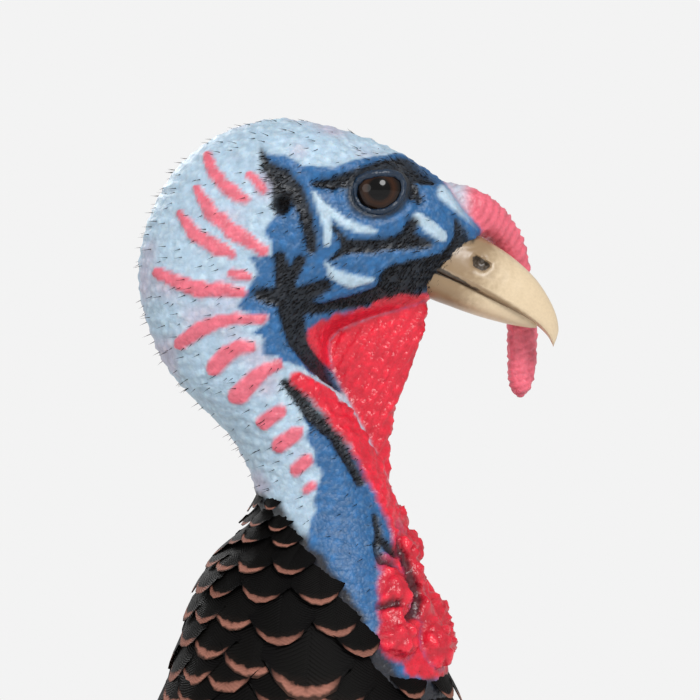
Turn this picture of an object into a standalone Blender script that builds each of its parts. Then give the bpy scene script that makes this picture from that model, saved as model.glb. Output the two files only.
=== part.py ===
"""Adult male wild turkey (Meleagris gallopavo), standing at rest: a still, life-size model.

The bird faces +X with its left side at +Y, and stands on the floor at Z = 0. The origin is the middle
of its outline on the floor. Lengths are in metres. The outer form is that of the feathers; each
region that a person would name is a separate solid, parted from its neighbours by a thin gap.

Head, neck, trunk and rump are one lofted form, modelled whole and then sliced. Each of its rings
joins a point of the upper outline (crown, nape, back) to one of the lower outline (chin, throat,
breast, belly), so the rings fan round the throat and round the hollow of the back.
"""

import math
from typing import NamedTuple

import bmesh
import bpy
from mathutils import Matrix, Vector
from mathutils.bvhtree import BVHTree

MM = 0.001
GAP = 0.3 * MM  # the clearance between neighbouring solids

# Driving dimensions, in mm: the body is laid out from a point on the floor between the feet.
MIDDLE_X = -155.0  # the middle of the bird's length, seen from between the feet
EYE_X, EYE_Z = 235.0, 862.0  # the eye's place, which the head is laid out from
EYE_Y, EYE_RADIUS = 11.8, 8.2
BILL_PITCH = math.radians(23)  # how far the bill points below the horizon
FOOT_SPREAD = 66.0  # from the middle plane to each foot
STRIDE = {"left": 14.0, "right": -10.0}  # how far each foot stands forward
HOCK_Z = 172.0
MIDDLE_TOE = 90.0
BEARD_LENGTH = 225.0
TAIL_REACH = 262.0  # the tail feathers' length beyond their coverts

BODY_SIDES = 24  # points round each ring of the body
RINGS_PER_STATION = 2
SIDES = {"right": -1, "left": 1}


class Station(NamedTuple):
    """One ring of a two-line loft: a point of each outline in the XZ plane, and the half width, in mm."""

    place: str
    upper: tuple
    lower: tuple
    half_width: float


# The head and upper neck, from the eye. The rings fan round the throat.
HEAD = (
    Station("bill base", (27.0, -9.5), (14.0, -28.0), 8.6),
    Station("lores", (17.0, 4.0), (6.0, -31.0), 14.0),
    Station("eye", (-3.0, 15.5), (-5.0, -34.5), 18.6),
    Station("crown", (-30.0, 20.5), (-12.0, -38.0), 20.6),
    Station("occiput", (-54.0, 8.5), (-14.0, -42.5), 20.8),
    Station("nape", (-65.5, -19.0), (-12.0, -49.0), 20.2),
    Station("hind neck", (-58.5, -46.0), (-7.0, -58.5), 18.8),
    Station("neck waist", (-39.5, -67.5), (-0.5, -71.0), 17.2),
    Station("hackle line", (-34.5, -85.0), (5.5, -88.0), 18.0),
    Station("ruff", (-48.5, -105.0), (12.0, -107.0), 25.5),
)

# The lower neck and body, from between the feet.
BODY = (
    Station("lower neck", (172.0, 715.0), (262.0, 706.0), 38.0),
    Station("neck root", (146.0, 660.0), (281.0, 632.0), 60.0),
    Station("prow", (104.0, 629.0), (292.0, 540.0), 95.0),
    Station("breast", (52.0, 612.0), (271.0, 444.0), 120.0),
    Station("keel", (-18.0, 591.0), (196.0, 360.0), 134.0),
    Station("belly", (-96.0, 566.0), (75.0, 314.0), 136.0),
    Station("flank", (-174.0, 532.0), (-56.0, 315.0), 124.0),
    Station("vent", (-249.0, 489.0), (-173.0, 344.0), 96.0),
    Station("rump", (-331.0, 444.0), (-284.0, 362.0), 72.0),
    Station("covert tips", (-400.0, 407.0), (-372.0, 362.0), 62.0),
)

# The planes that part the body, each from an upper to a lower point.
FACE_CUT = ((-62.0, -43.0), (-10.0, -55.0))  # from the eye
HACKLE_CUT = ((-34.0, -80.0), (10.0, -116.0))  # from the eye: bare skin above, feathers below
NECK_CUT = ((146.0, 660.0), (281.0, 632.0))
RUMP_CUT = ((-205.0, 516.0), (-103.0, 324.0))

# The folded wing, from its wrist to the tip of its longest primary: the two edges and the thickness.
WING = (
    Station("wrist", (216.0, 552.0), (224.0, 508.0), 6.0),
    Station("shoulder", (186.0, 588.0), (206.0, 452.0), 12.0),
    Station("forearm", (118.0, 601.0), (150.0, 398.0), 15.0),
    Station("elbow", (28.0, 588.0), (62.0, 364.0), 15.5),
    Station("secondaries", (-72.0, 551.0), (-48.0, 357.0), 14.5),
    Station("tertial tips", (-164.0, 506.0), (-150.0, 368.0), 12.5),
    Station("primaries", (-246.0, 461.0), (-240.0, 382.0), 10.0),
    Station("wing tip", (-318.0, 418.0), (-318.0, 396.0), 6.0),
)
WING_EDGE = 4.5  # the wing's thickness along its edges
WING_BEDDING = 7.0  # how far the shell reaches into the trunk before it is cut to fit
COVERT_CUT = ((40.0, 640.0), (-40.0, 330.0))
PRIMARY_CUT = ((-120.0, 560.0), (-215.0, 340.0))

# The wattle under the chin, from the eye: its root inside the throat, its free edge, its thickness.
DEWLAP = (
    Station("chin", (6.0, -22.0), (14.5, -31.5), 2.2),
    Station("upper wattle", (-3.0, -29.0), (11.5, -42.0), 3.6),
    Station("wattle", (-11.0, -38.0), (7.0, -54.0), 4.6),
    Station("lower wattle", (-10.0, -52.0), (3.5, -66.0), 4.8),
    Station("neck fold", (-3.0, -66.0), (4.0, -79.0), 3.6),
)

# The snood, from the eye: it leaves the forehead, lies over the bill and hangs down its left side.
SNOOD = (
    (19.0, 0.0, -1.0),
    (29.0, 2.5, -4.5),
    (36.5, 9.0, -13.0),
    (40.0, 13.0, -27.0),
    (40.5, 12.8, -44.0),
    (40.0, 12.4, -56.0),
)
SNOOD_RADII = (5.6, 5.4, 4.7, 4.4, 4.2, 1.2)


def mixed(a, b, share):
    """The value a share of the way from a to b."""
    return a + (b - a) * share


def smooth(points, steps):
    """A Catmull-Rom curve through tuples of numbers, with this many steps from each to the next."""
    ends = [
        tuple(2 * a - b for a, b in zip(points[0], points[1])),
        *points,
        tuple(2 * a - b for a, b in zip(points[-1], points[-2])),
    ]
    curve = []
    for i in range(len(points) - 1):
        p0, p1, p2, p3 = ends[i : i + 4]
        for step in range(steps):
            t = step / steps
            weights = (
                (-t**3 + 2 * t**2 - t) / 2,
                (3 * t**3 - 5 * t**2 + 2) / 2,
                (-3 * t**3 + 4 * t**2 + t) / 2,
                (t**3 - t**2) / 2,
            )
            curve.append(tuple(sum(w * v for w, v in zip(weights, values)) for values in zip(p0, p1, p2, p3)))
    curve.append(tuple(points[-1]))
    return curve


def placed(x, y, z):
    """A point laid out from between the feet, in mm, as a place in the model."""
    return Vector(((x - MIDDLE_X) * MM, y * MM, z * MM))


def from_eye(x, y, z):
    """A point laid out from the eye, in mm, as a place in the model."""
    return placed(EYE_X + x, y, EYE_Z + z)


def along_bill(u, y, v):
    """A point at u along the bill's axis and v above it, from the eye."""
    return from_eye(
        u * math.cos(BILL_PITCH) + v * math.sin(BILL_PITCH),
        y,
        v * math.cos(BILL_PITCH) - u * math.sin(BILL_PITCH),
    )


def whole_body():
    """The stations from the bill to the covert tips, all laid out from between the feet."""
    head = [
        Station(s.place, *((EYE_X + x, EYE_Z + z) for x, z in (s.upper, s.lower)), s.half_width) for s in HEAD
    ]
    return [*head, *BODY]


def material(name, colour, roughness, metallic=0.0):
    """A Principled BSDF of that sRGB colour, made once for each name."""
    if name in bpy.data.materials:
        return bpy.data.materials[name]
    made = bpy.data.materials.new(name)
    made.use_nodes = True
    shader = made.node_tree.nodes["Principled BSDF"]
    linear = [((c / 255 + 0.055) / 1.055) ** 2.4 for c in colour]
    shader.inputs["Base Color"].default_value = (*linear, 1)
    shader.inputs["Roughness"].default_value = roughness
    shader.inputs["Metallic"].default_value = metallic
    return made


FINISHES = {
    "face_skin": ((96, 136, 178), 0.5),
    "pale_skin": ((184, 204, 218), 0.5),
    "red_skin": ((206, 42, 58), 0.45),
    "pink_skin": ((226, 108, 124), 0.45),
    "horn": ((214, 192, 160), 0.35),
    "eye": ((38, 26, 20), 0.08),
    "dark_feather": ((38, 28, 24), 0.55),
    "bronze_feather": ((92, 62, 40), 0.4),
    "barred_feather": ((120, 108, 98), 0.6),
    "tail_feather": ((128, 84, 56), 0.55),
    "leg_scale": ((190, 96, 92), 0.45),
    "claw": ((52, 42, 36), 0.3),
    "beard": ((20, 18, 18), 0.6),
}


def finish(name):
    """One of the named finishes as a material."""
    return material(name, *FINISHES[name])


def lofted(rings):
    """A closed bmesh from rings of points, each ring bridged to the next and the two ends capped."""
    bm = bmesh.new()
    rows = [[bm.verts.new(p) for p in ring] for ring in rings]
    count = len(rows[0])
    for row, following in zip(rows, rows[1:]):
        for i in range(count):
            j = (i + 1) % count
            bm.faces.new((row[i], row[j], following[j], following[i]))
    bm.faces.new(rows[0])
    bm.faces.new(list(reversed(rows[-1])))
    bmesh.ops.recalc_face_normals(bm, faces=bm.faces)
    if bm.calc_volume(signed=True) < 0:
        bmesh.ops.reverse_faces(bm, faces=bm.faces)
    bmesh.ops.triangulate(bm, faces=bm.faces)  # so that a form and its clearance bend along the same edges
    return bm


def node(name, bm, finish_name):
    """The bmesh as a smooth-shaded object of that name, which becomes a node."""
    mesh = bpy.data.meshes.new(name)
    bm.to_mesh(mesh)
    bm.free()
    mesh.materials.append(finish(finish_name))
    mesh.shade_smooth()
    mesh.set_sharp_from_angle(angle=math.radians(50))
    made = bpy.data.objects.new(name, mesh)
    bpy.context.scene.collection.objects.link(made)
    return made


def cutter(name, bm):
    """The bmesh as a helper object, which isn't a node."""
    made = node(name, bm, "dark_feather")
    made.hide_render = True
    made.display_type = "WIRE"
    return made


def changed(target, other, operation="DIFFERENCE"):
    """Adds an exact Boolean to target, and returns target."""
    modifier = target.modifiers.new(f"{operation.title()} {other.name}", "BOOLEAN")
    modifier.operation = operation
    modifier.object = other
    modifier.solver = "EXACT"
    return target


def inflated(bm, by):
    """The bmesh with each vertex moved out along its normal."""
    bm.normal_update()
    moves = [(v, v.normal * by) for v in bm.verts]
    for vert, move in moves:
        vert.co += move
    return bm


def sliced(bm, line, keep, at=placed):
    """A copy of the bmesh on one side of a plane that stands on a line from an upper to a lower point.

    keep is 1 for the side that lies to the front of the line, and -1 for the side behind it. The
    plane is set back by half the clearance, and the cut is closed.
    """
    upper, lower = at(line[0][0], 0, line[0][1]), at(line[1][0], 0, line[1][1])
    along = (upper - lower).normalized()
    normal = Vector((along.z, 0, -along.x)) * keep
    piece = bm.copy()
    cut = bmesh.ops.bisect_plane(
        piece,
        geom=[*piece.verts, *piece.edges, *piece.faces],
        plane_co=upper + normal * GAP / 2,
        plane_no=-normal,
        clear_outer=True,
    )
    rim = [item for item in cut["geom_cut"] if isinstance(item, bmesh.types.BMEdge)]
    bmesh.ops.holes_fill(piece, edges=rim, sides=0)
    bmesh.ops.recalc_face_normals(piece, faces=piece.faces)
    return piece


def two_line_form(stations, sides=BODY_SIDES, steps=RINGS_PER_STATION, square=2.2, at=placed):
    """A loft whose rings each join an upper and a lower outline point, with superelliptic sections."""
    rows = smooth([(*s.upper, *s.lower, s.half_width) for s in stations], steps)
    rings = []
    for upper_x, upper_z, lower_x, lower_z, half_width in rows:
        ring = []
        for i in range(sides):
            angle = math.tau * (i + 0.5) / sides
            across = math.copysign(abs(math.cos(angle)) ** (2 / square), math.cos(angle))
            share = (1 - math.copysign(abs(math.sin(angle)) ** (2 / square), math.sin(angle))) / 2
            ring.append(
                at(mixed(upper_x, lower_x, share), half_width * across, mixed(upper_z, lower_z, share))
            )
        rings.append(ring)
    return lofted(rings)


def tube(path, radii, sides=10, steps=3, flat=1.0, floor=None, at=placed):
    """A loft round a smooth path, its radii in mm. flat scales the section's height; no point goes under floor."""
    rows = smooth([(*p, r) for p, r in zip(path, radii)], steps)
    centres = [at(*row[:3]) for row in rows]
    rings = []
    for i, centre in enumerate(centres):
        ahead, behind = centres[min(i + 1, len(rows) - 1)], centres[max(i - 1, 0)]
        tangent = (ahead - behind).normalized()
        guide = Vector((0, 0, 1)) if abs(tangent.z) < 0.7 else Vector((1, 0, 0))
        side = tangent.cross(guide).normalized()
        lift = side.cross(tangent)
        radius = rows[i][3] * MM
        ring = []
        for k in range(sides):
            angle = math.tau * (k + 0.5) / sides
            point = centre + side * math.cos(angle) * radius + lift * math.sin(angle) * radius * flat
            if floor is not None:
                point.z = max(point.z, floor * MM)
            ring.append(point)
        rings.append(ring)
    return lofted(rings)


def ball(centre, radius, segments=14, rings=9, scale=(1, 1, 1)):
    """A sphere, its radius in mm, stretched by scale."""
    bm = bmesh.new()
    bmesh.ops.create_uvsphere(bm, u_segments=segments, v_segments=rings, radius=radius * MM)
    bmesh.ops.transform(bm, matrix=Matrix.Translation(centre) @ Matrix.Diagonal((*scale, 1)), verts=bm.verts)
    return bm


def make_body(whole):
    """The head, the two lengths of neck, the trunk and the rump, sliced from the whole form."""
    head = node("head", sliced(whole, FACE_CUT, 1, from_eye), "face_skin")
    below_head = sliced(whole, FACE_CUT, -1, from_eye)
    node("neck_bare", sliced(below_head, HACKLE_CUT, 1, from_eye), "pale_skin")
    below_hackle = sliced(below_head, HACKLE_CUT, -1, from_eye)
    neck = node("neck_feathered", sliced(below_hackle, NECK_CUT, 1), "dark_feather")
    below_neck = sliced(below_hackle, NECK_CUT, -1)
    node("trunk", sliced(below_neck, RUMP_CUT, 1), "bronze_feather")
    node("rump", sliced(below_neck, RUMP_CUT, -1), "bronze_feather")
    return head, neck


def make_eyes(head):
    """The two eyeballs, each in its own socket."""
    for side, sign in SIDES.items():
        centre = from_eye(0, sign * EYE_Y, 0)
        node(f"eye_{side}", ball(centre, EYE_RADIUS), "eye")
        changed(head, cutter(f"socket_{side}", ball(centre, EYE_RADIUS + GAP / MM)))


def bill_half(stations, dome):
    """One mandible: half-round sections along the bill's axis, domed up or down from the flat biting face.

    Each station is (u, ridge v, biting edge v, half width), in mm.
    """
    rings = []
    for u, ridge, edge, half_width in smooth(stations, 2):
        ring = []
        for i in range(9):
            angle = math.pi * i / 8
            ring.append(
                along_bill(u, half_width * math.cos(angle), mixed(edge, ridge, math.sin(angle) ** 0.85))
            )
        rings.append(ring if dome > 0 else list(reversed(ring)))
    return lofted(rings)


def make_bill():
    """The hooked upper mandible and the shorter lower one, both clear of the head."""
    clearance = GAP / MM
    upper = (
        (27.0, 0.5, -13.2, 8.4),
        (38.0, -0.8, -13.6, 7.6),
        (48.0, -4.0, -14.2, 5.8),
        (55.5, -8.8, -15.6, 3.6),
        (60.0, -15.0, -18.8, 0.9),
    )
    lower = (
        (24.5, -20.6, -13.2 - clearance, 7.9),
        (36.0, -20.2, -13.8 - clearance, 6.4),
        (46.0, -18.9, -14.3 - clearance, 4.2),
        (53.5, -17.2, -15.4 - clearance, 1.2),
    )
    base = ((27.0, -9.5), (14.0, -28.0))
    pieces = {}
    for name, stations, dome in (("upper_bill", upper, 1), ("lower_bill", lower, -1)):
        form = bill_half(stations, dome)
        pieces[name] = node(name, sliced(form, base, 1, from_eye), "horn")
    return pieces


def make_flesh(body_clearance):
    """The dewlap, the snood and the caruncles, each cut to lie against the skin."""
    dewlap_form = two_line_form(DEWLAP, sides=8, steps=2, at=from_eye)
    dewlap_clearance = cutter("dewlap_clearance", inflated(dewlap_form.copy(), GAP))
    changed(node("dewlap", dewlap_form, "red_skin"), body_clearance)

    snood = node("snood", tube(SNOOD, SNOOD_RADII, sides=8, steps=2, at=from_eye), "pink_skin")
    changed(snood, body_clearance)

    rows, columns = 4, 3
    beads = bmesh.new()
    for row in range(rows):
        for column in range(columns):
            sway = math.sin(2.4 * row + 1.7 * column)
            across = (column - 1) * (11.0 + 1.5 * row)
            centre = from_eye(2.5 + 4.2 * row - 0.022 * across**2, across, -90.0 - 10.5 * row + 2.0 * sway)
            radius = 6.6 + 0.9 * row + 0.7 * sway
            bead = ball(centre, radius, segments=12, rings=8, scale=(0.95, 1, 1.05))
            copied = {v: beads.verts.new(v.co) for v in bead.verts}
            for face in bead.faces:
                beads.faces.new([copied[v] for v in face.verts])
            bead.free()
    caruncles = node("caruncles", beads, "red_skin")
    merge = caruncles.modifiers.new("Join the lumps", "REMESH")
    merge.mode = "VOXEL"
    merge.voxel_size = 5.2 * MM
    changed(changed(caruncles, body_clearance), dewlap_clearance)
    return snood


def make_beard(body_clearance):
    """The beard: a tassel of bristles that hangs from the middle of the breast."""
    top = 548.0
    path = (
        (280.0, 0.0, top),
        (295.5, 0.0, top - 12),
        (303.0, 0.0, mixed(top, top - BEARD_LENGTH, 0.4)),
        (303.0, 0.0, mixed(top, top - BEARD_LENGTH, 0.75)),
        (299.0, 0.0, top - BEARD_LENGTH),
    )
    changed(node("beard", tube(path, (4.5, 5.0, 7.0, 7.5, 3.0), sides=8, steps=2), "beard"), body_clearance)


def wing_form(skin, sign):
    """The whole folded wing: a shell that follows the trunk's side, with a rounded outer face."""
    ribs = 7
    rings = []
    for top_x, top_z, low_x, low_z, thickness in smooth([(*s.upper, *s.lower, s.half_width) for s in WING], 2):
        outer, inner = [], []
        for i in range(ribs):
            share = i / (ribs - 1)
            x, z = mixed(top_x, low_x, share), mixed(top_z, low_z, share)
            hit, *_ = skin.ray_cast(placed(x, sign * 400, z), Vector((0, -sign, 0)))
            level = math.sqrt(max(0.0, 1 - (2 * share - 1) ** 2))
            rise = mixed(WING_EDGE, thickness, level) * MM
            outer.append(hit + Vector((0, sign * rise, 0)))
            inner.append(hit - Vector((0, sign * WING_BEDDING * MM, 0)))
        rings.append([*outer, *reversed(inner)])
    return lofted(rings)


def make_wings(whole, body_clearance):
    """Each folded wing in three: the covert shield, the secondaries, and the primaries behind them."""
    skin = BVHTree.FromBMesh(whole)
    for side, sign in SIDES.items():
        form = wing_form(skin, sign)
        behind = sliced(form, COVERT_CUT, -1)
        pieces = {
            "coverts": (sliced(form, COVERT_CUT, 1), "bronze_feather"),
            "secondaries": (sliced(behind, PRIMARY_CUT, 1), "barred_feather"),
            "primaries": (sliced(behind, PRIMARY_CUT, -1), "barred_feather"),
        }
        for part, (bm, finish_name) in pieces.items():
            changed(node(f"wing_{part}_{side}", bm, finish_name), body_clearance)


def make_tail():
    """The closed tail: a shallow roof of feathers with a round end, behind the rump."""
    root = Vector((-372.0, 390.0))
    slope = math.radians(-24)
    steps, sides = 10, 6
    rings = []
    for step in range(steps + 1):
        share = 1 - (1 - step / steps) ** 1.4
        reach = share * (TAIL_REACH + 8)
        taper = max(0.0, (share - 0.8) / 0.2)
        half_width = mixed(50.0, 74.0, share) * math.sqrt(max(0.02, 1 - taper**2))
        thickness = mixed(24.0, 9.0, share)
        ring = []
        for i in range(2 * sides):
            over = i < sides
            across = 1 - 2 * (i if over else 2 * sides - 1 - i) / (sides - 1)
            arch = -mixed(16.0, 26.0, share) * (across * half_width / 74.0) ** 2
            body = thickness * (0.35 + 0.65 * math.sqrt(max(0.0, 1 - across**2)))
            height = arch + (body if over else -body) / 2
            ring.append(
                placed(
                    root.x - reach * math.cos(slope) + height * math.sin(slope),
                    across * half_width,
                    root.y + reach * math.sin(slope) + height * math.cos(slope),
                )
            )
        rings.append(ring)
    last = BODY[-1]
    node("tail", sliced(lofted(rings), (last.upper, last.lower), -1), "tail_feather")


def foot_frame(side):
    """A function that places a point of a foot: forward, outward from the bird's middle, and up, in mm."""
    sign = SIDES[side]

    def at(forward, outward, up):
        return placed(STRIDE[side] + forward, sign * (FOOT_SPREAD + outward), up)

    return at


def make_foot(side):
    """The sole's pad with its three front toes and the hind toe, each toe with its claw."""
    at = foot_frame(side)
    pad_radius, pad_height = 18.0, 19.0
    profile = ((0.86, 0.0), (1.0, 0.16), (1.0, 0.45), (0.9, 0.75), (0.62, 1.0))

    def pad_form(extra):
        rings = []
        for share, height in profile:
            radius = pad_radius * share + extra
            level = mixed(-extra, pad_height + extra, height)
            rings.append(
                [
                    at(radius * math.cos(math.tau * k / 16), radius * math.sin(math.tau * k / 16), level)
                    for k in range(16)
                ]
            )
        return lofted(rings)

    pad_clearance = cutter(f"pad_clearance_{side}", pad_form(GAP / MM))
    node(f"foot_{side}", pad_form(0.0), "leg_scale")

    toes = {
        "inner": (-34.0, 0.76 * MIDDLE_TOE, 5.5),
        "middle": (2.0, MIDDLE_TOE, 6.0),
        "outer": (39.0, 0.8 * MIDDLE_TOE, 5.5),
    }
    for toe, (yaw, length, radius) in toes.items():
        turn = math.radians(yaw)

        def out(reach, up, turn=turn):
            return (reach * math.cos(turn), reach * math.sin(turn), up)

        knuckles = (11.0, mixed(11, length, 0.25), mixed(11, length, 0.5), mixed(11, length, 0.75), length)
        widths = (0.86, 1.0, 0.92, 0.9, 0.68)
        path = [out(reach, radius * width * 0.82) for reach, width in zip(knuckles, widths)]
        toe_form = tube(path, [radius * w for w in widths], sides=8, steps=2, flat=0.95, floor=0.0, at=at)
        changed(node(f"toe_{toe}_{side}", toe_form, "leg_scale"), pad_clearance)
        tip = length + GAP / MM
        claw_path = (out(tip, 3.3), out(tip + 6.5, 4.2), out(tip + 12, 3.2), out(tip + 16, 0.9))
        claw_form = tube(claw_path, (3.3, 2.9, 1.9, 0.5), sides=6, steps=2, floor=0.0, at=at)
        clear_of_toe = sliced_across(claw_form, at(*out(tip, 0.0)), at(*out(tip + 1, 0.0)))
        node(f"claw_{toe}_{side}", clear_of_toe, "claw")

    hind_path = ((-8.0, 0.0, 12.0), (-20.0, -3.0, 10.0), (-31.0, -6.0, 5.6), (-39.0, -8.0, 3.4))
    hind_form = tube(hind_path, (5.2, 5.0, 4.6, 3.7), sides=8, steps=2, floor=0.0, at=at)
    changed(node(f"toe_hind_{side}", hind_form, "leg_scale"), pad_clearance)
    hind_claw_path = ((-39.0, -8.0, 3.6), (-45.0, -9.5, 3.9), (-50.5, -11.0, 2.6), (-54.0, -12.0, 0.8))
    hind_claw = tube(hind_claw_path, (2.9, 2.5, 1.6, 0.5), sides=6, steps=2, floor=0.0, at=at)
    last, before = at(*hind_path[-1]), at(*hind_path[-2])
    level_step = Vector((last.x - before.x, last.y - before.y, last.z - before.z)).normalized() * MM
    node(f"claw_hind_{side}", sliced_across(hind_claw, last + level_step * 0.4, last + level_step * 1.4), "claw")
    return pad_clearance


def sliced_across(bm, start, ahead):
    """The part of the bmesh beyond a plane at start that faces ahead."""
    normal = (ahead - start).normalized()
    cut = bmesh.ops.bisect_plane(
        bm, geom=[*bm.verts, *bm.edges, *bm.faces], plane_co=start, plane_no=-normal, clear_outer=True
    )
    rim = [item for item in cut["geom_cut"] if isinstance(item, bmesh.types.BMEdge)]
    bmesh.ops.holes_fill(bm, edges=rim, sides=0)
    bmesh.ops.recalc_face_normals(bm, faces=bm.faces)
    return bm


def make_leg(side, body_clearance, pad_clearance):
    """The feathered thigh, the scaled shank below its cuff, and the spur inside the shank."""
    at = foot_frame(side)

    def leg_point(forward, outward, up, stride_share):
        """A point of the leg: forward from between the feet, and moved by this share of the stride."""
        return (forward - (1 - stride_share) * STRIDE[side], outward, up)

    hock = leg_point(-40.0, 4.0, HOCK_Z, 0.65)
    ankle = (-3.0, 0.0, 12.0)
    thigh_path = (
        hock,
        leg_point(-31.0, 4.5, 203.0, 0.6),
        leg_point(-14.0, 6.0, 244.0, 0.45),
        leg_point(8.0, 5.0, 300.0, 0.25),
        leg_point(22.0, -10.0, 352.0, 0.1),
    )
    thigh_form = tube(thigh_path, (11.5, 17.5, 31.0, 45.0, 38.0), sides=14, steps=2, flat=1.34, at=at)
    cuff, above = at(*thigh_path[0]), at(*thigh_path[1])
    lift = (above - cuff).normalized() * GAP
    thigh = node(f"thigh_{side}", sliced_across(thigh_form, cuff + lift, cuff + 2 * lift), "dark_feather")
    changed(thigh, body_clearance)

    shank_shares, shank_radii = (0.0, 0.22, 0.5, 0.86, 1.0, 1.04), (9.4, 8.0, 7.4, 8.8, 11.2, 10.8)
    shank_path = [tuple(mixed(a, h, share) for a, h in zip(ankle, hock)) for share in shank_shares]
    shank_form = tube(shank_path, shank_radii, sides=10, steps=2, at=at)
    shank_clearance = cutter(f"shank_clearance_{side}", inflated(shank_form.copy(), GAP))
    below_cuff = sliced_across(shank_form, cuff - lift * 0.2, cuff - 2 * lift)
    changed(node(f"shank_{side}", below_cuff, "leg_scale"), pad_clearance)

    root = tuple(mixed(a, h, 0.42) for a, h in zip(ankle, hock))
    spur_path = (
        root,
        (root[0] - 11, root[1] - 6, root[2] - 1),
        (root[0] - 21, root[1] - 10, root[2] + 2),
        (root[0] - 29, root[1] - 12, root[2] + 8),
    )
    spur = node(f"spur_{side}", tube(spur_path, (5.6, 4.8, 3.2, 0.7), sides=10, steps=2, at=at), "claw")
    changed(spur, shank_clearance)


def clear_scene():
    """Removes whatever the scene starts with."""
    for thing in list(bpy.data.objects):
        bpy.data.objects.remove(thing)


def main():
    clear_scene()
    whole = two_line_form(whole_body())
    body_clearance = cutter("body_clearance", inflated(whole.copy(), GAP))
    head, _ = make_body(whole)
    make_eyes(head)
    make_bill()
    make_flesh(body_clearance)
    make_beard(body_clearance)
    make_wings(whole, body_clearance)
    make_tail()
    for side in SIDES:
        pad_clearance = make_foot(side)
        make_leg(side, body_clearance, pad_clearance)
    whole.free()


main()
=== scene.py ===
"""A standing adult male wild turkey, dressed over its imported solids.

The bird faces +X with its left side at +Y and stands on the floor at Z = 0. Lengths are in metres
unless a name or comment says mm. One skin covers the head, neck, trunk and legs; the eyes, bill,
claws and spurs are pieces of their own, and every feather is a closed thin vane of mesh.

The head, neck and trunk are laid out by one surface: each of its rings joins a point of the upper
outline (crown, nape, back) to one of the lower outline (chin, throat, breast, belly). The skin
takes its shape from that surface, and the feathers take their roots and their lie from it.
"""

import logging
import math
from collections.abc import Iterator, Sequence
from dataclasses import astuple, dataclass, field
from enum import StrEnum

import bpy
import numpy as np
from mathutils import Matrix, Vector, kdtree
from mathutils.bvhtree import BVHTree


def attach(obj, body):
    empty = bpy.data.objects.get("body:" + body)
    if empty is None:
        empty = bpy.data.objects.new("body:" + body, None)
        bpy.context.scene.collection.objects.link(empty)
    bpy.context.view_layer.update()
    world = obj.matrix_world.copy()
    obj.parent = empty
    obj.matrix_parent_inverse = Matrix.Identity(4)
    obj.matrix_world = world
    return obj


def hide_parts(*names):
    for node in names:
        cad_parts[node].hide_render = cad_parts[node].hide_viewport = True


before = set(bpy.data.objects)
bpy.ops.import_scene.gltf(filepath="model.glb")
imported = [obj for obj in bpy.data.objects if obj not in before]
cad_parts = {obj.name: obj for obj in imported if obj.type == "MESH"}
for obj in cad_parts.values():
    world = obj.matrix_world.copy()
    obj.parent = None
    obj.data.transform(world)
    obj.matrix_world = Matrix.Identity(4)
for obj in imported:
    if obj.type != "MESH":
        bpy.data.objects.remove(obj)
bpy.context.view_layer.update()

Array = np.ndarray
Point = tuple[float, float, float]
Box = tuple[float, float, float, float]
Span = tuple[float, float]
Row = tuple[float, ...]
Node, Socket, Material, Object = bpy.types.Node, bpy.types.NodeSocket, bpy.types.Material, bpy.types.Object

MM = 0.001
TAU = math.tau
MIDDLE_X = -155.0  # the middle of the bird's length, in mm from between the feet
EYE_PLACE = (235.0, 0.0, 862.0)  # in mm from between the feet: the head is laid out from here
EYE_OUT, EYE_RADIUS = 11.8, 8.2
BILL_PITCH = math.radians(23)
FOOT_SPREAD = 66.0
HOCK_HEIGHT = 172.0
STATION_STEP, TURN_STEP = 0.01, 0.001  # the small steps along and round a surface, to measure its paces by

log = logging.getLogger("turkey")


class Side(StrEnum):
    """The bird's own sides, as its pieces are named."""

    RIGHT = "right"
    LEFT = "left"

    @property
    def sign(self) -> int:
        """1 for the left, which is towards +Y, and -1 for the right."""
        return 1 if self is Side.LEFT else -1


class Slot(StrEnum):
    """The material slots of the part's record."""

    SKIN = "skin_face"
    EYE = "eye"
    BILL = "bill_horn"
    DARK = "feather_dark"
    BRONZE = "feather_bronze"
    BARRED = "feather_barred"
    TAIL = "feather_tail"
    SCALE = "leg_scale"
    CLAW = "claw"
    BEARD = "beard"


STRIDE = {Side.LEFT: 14.0, Side.RIGHT: -10.0}  # how far forward each foot stands, in mm


# ---- Numbers, noise and masks --------------------------------------------------------------------


def placed(x: float, y: float, z: float) -> Array:
    """A point laid out from between the feet, in mm, as a place in the model."""
    return np.array((x - MIDDLE_X, y, z)) * MM


def from_eye(x: float, y: float, z: float) -> Array:
    """A point laid out from the eye, in mm, as a place in the model."""
    return placed(EYE_PLACE[0] + x, y, EYE_PLACE[2] + z)


def eye_measures(points: Array) -> tuple[Array, Array, Array]:
    """Places in the model as mm forward, to the left and up from the eye."""
    local = points / MM - np.array((EYE_PLACE[0] - MIDDLE_X, 0.0, EYE_PLACE[2]))
    return local[..., 0], local[..., 1], local[..., 2]


def mixed(a: Array | float, b: Array | float, share: Array | float) -> Array | float:
    """The value a share of the way from a to b."""
    return a + (b - a) * share


def eased(low: float, high: float, value: Array) -> Array:
    """0 below low, 1 above high, and a smooth rise between them."""
    t = np.clip((value - low) / (high - low), 0.0, 1.0)
    return t * t * (3 - 2 * t)


def hump(value: Array, heart: float, width: float) -> Array:
    """1 where the value is at its heart, falling to 0 on both sides."""
    return np.exp(-(((value - heart) / width) ** 2))


def unit(vectors: Array) -> Array:
    """The vectors at length one."""
    return vectors / np.maximum(np.linalg.norm(vectors, axis=-1, keepdims=True), 1e-12)


def net(rows: Array, columns: Array) -> tuple[Array, Array]:
    """Two arrays, rows x columns, of each place's row value and column value."""
    return np.meshgrid(rows, columns, indexing="ij")


def turns(count: int) -> Array:
    """Angles evenly spaced round a circle."""
    return np.arange(count) / count * TAU


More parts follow.
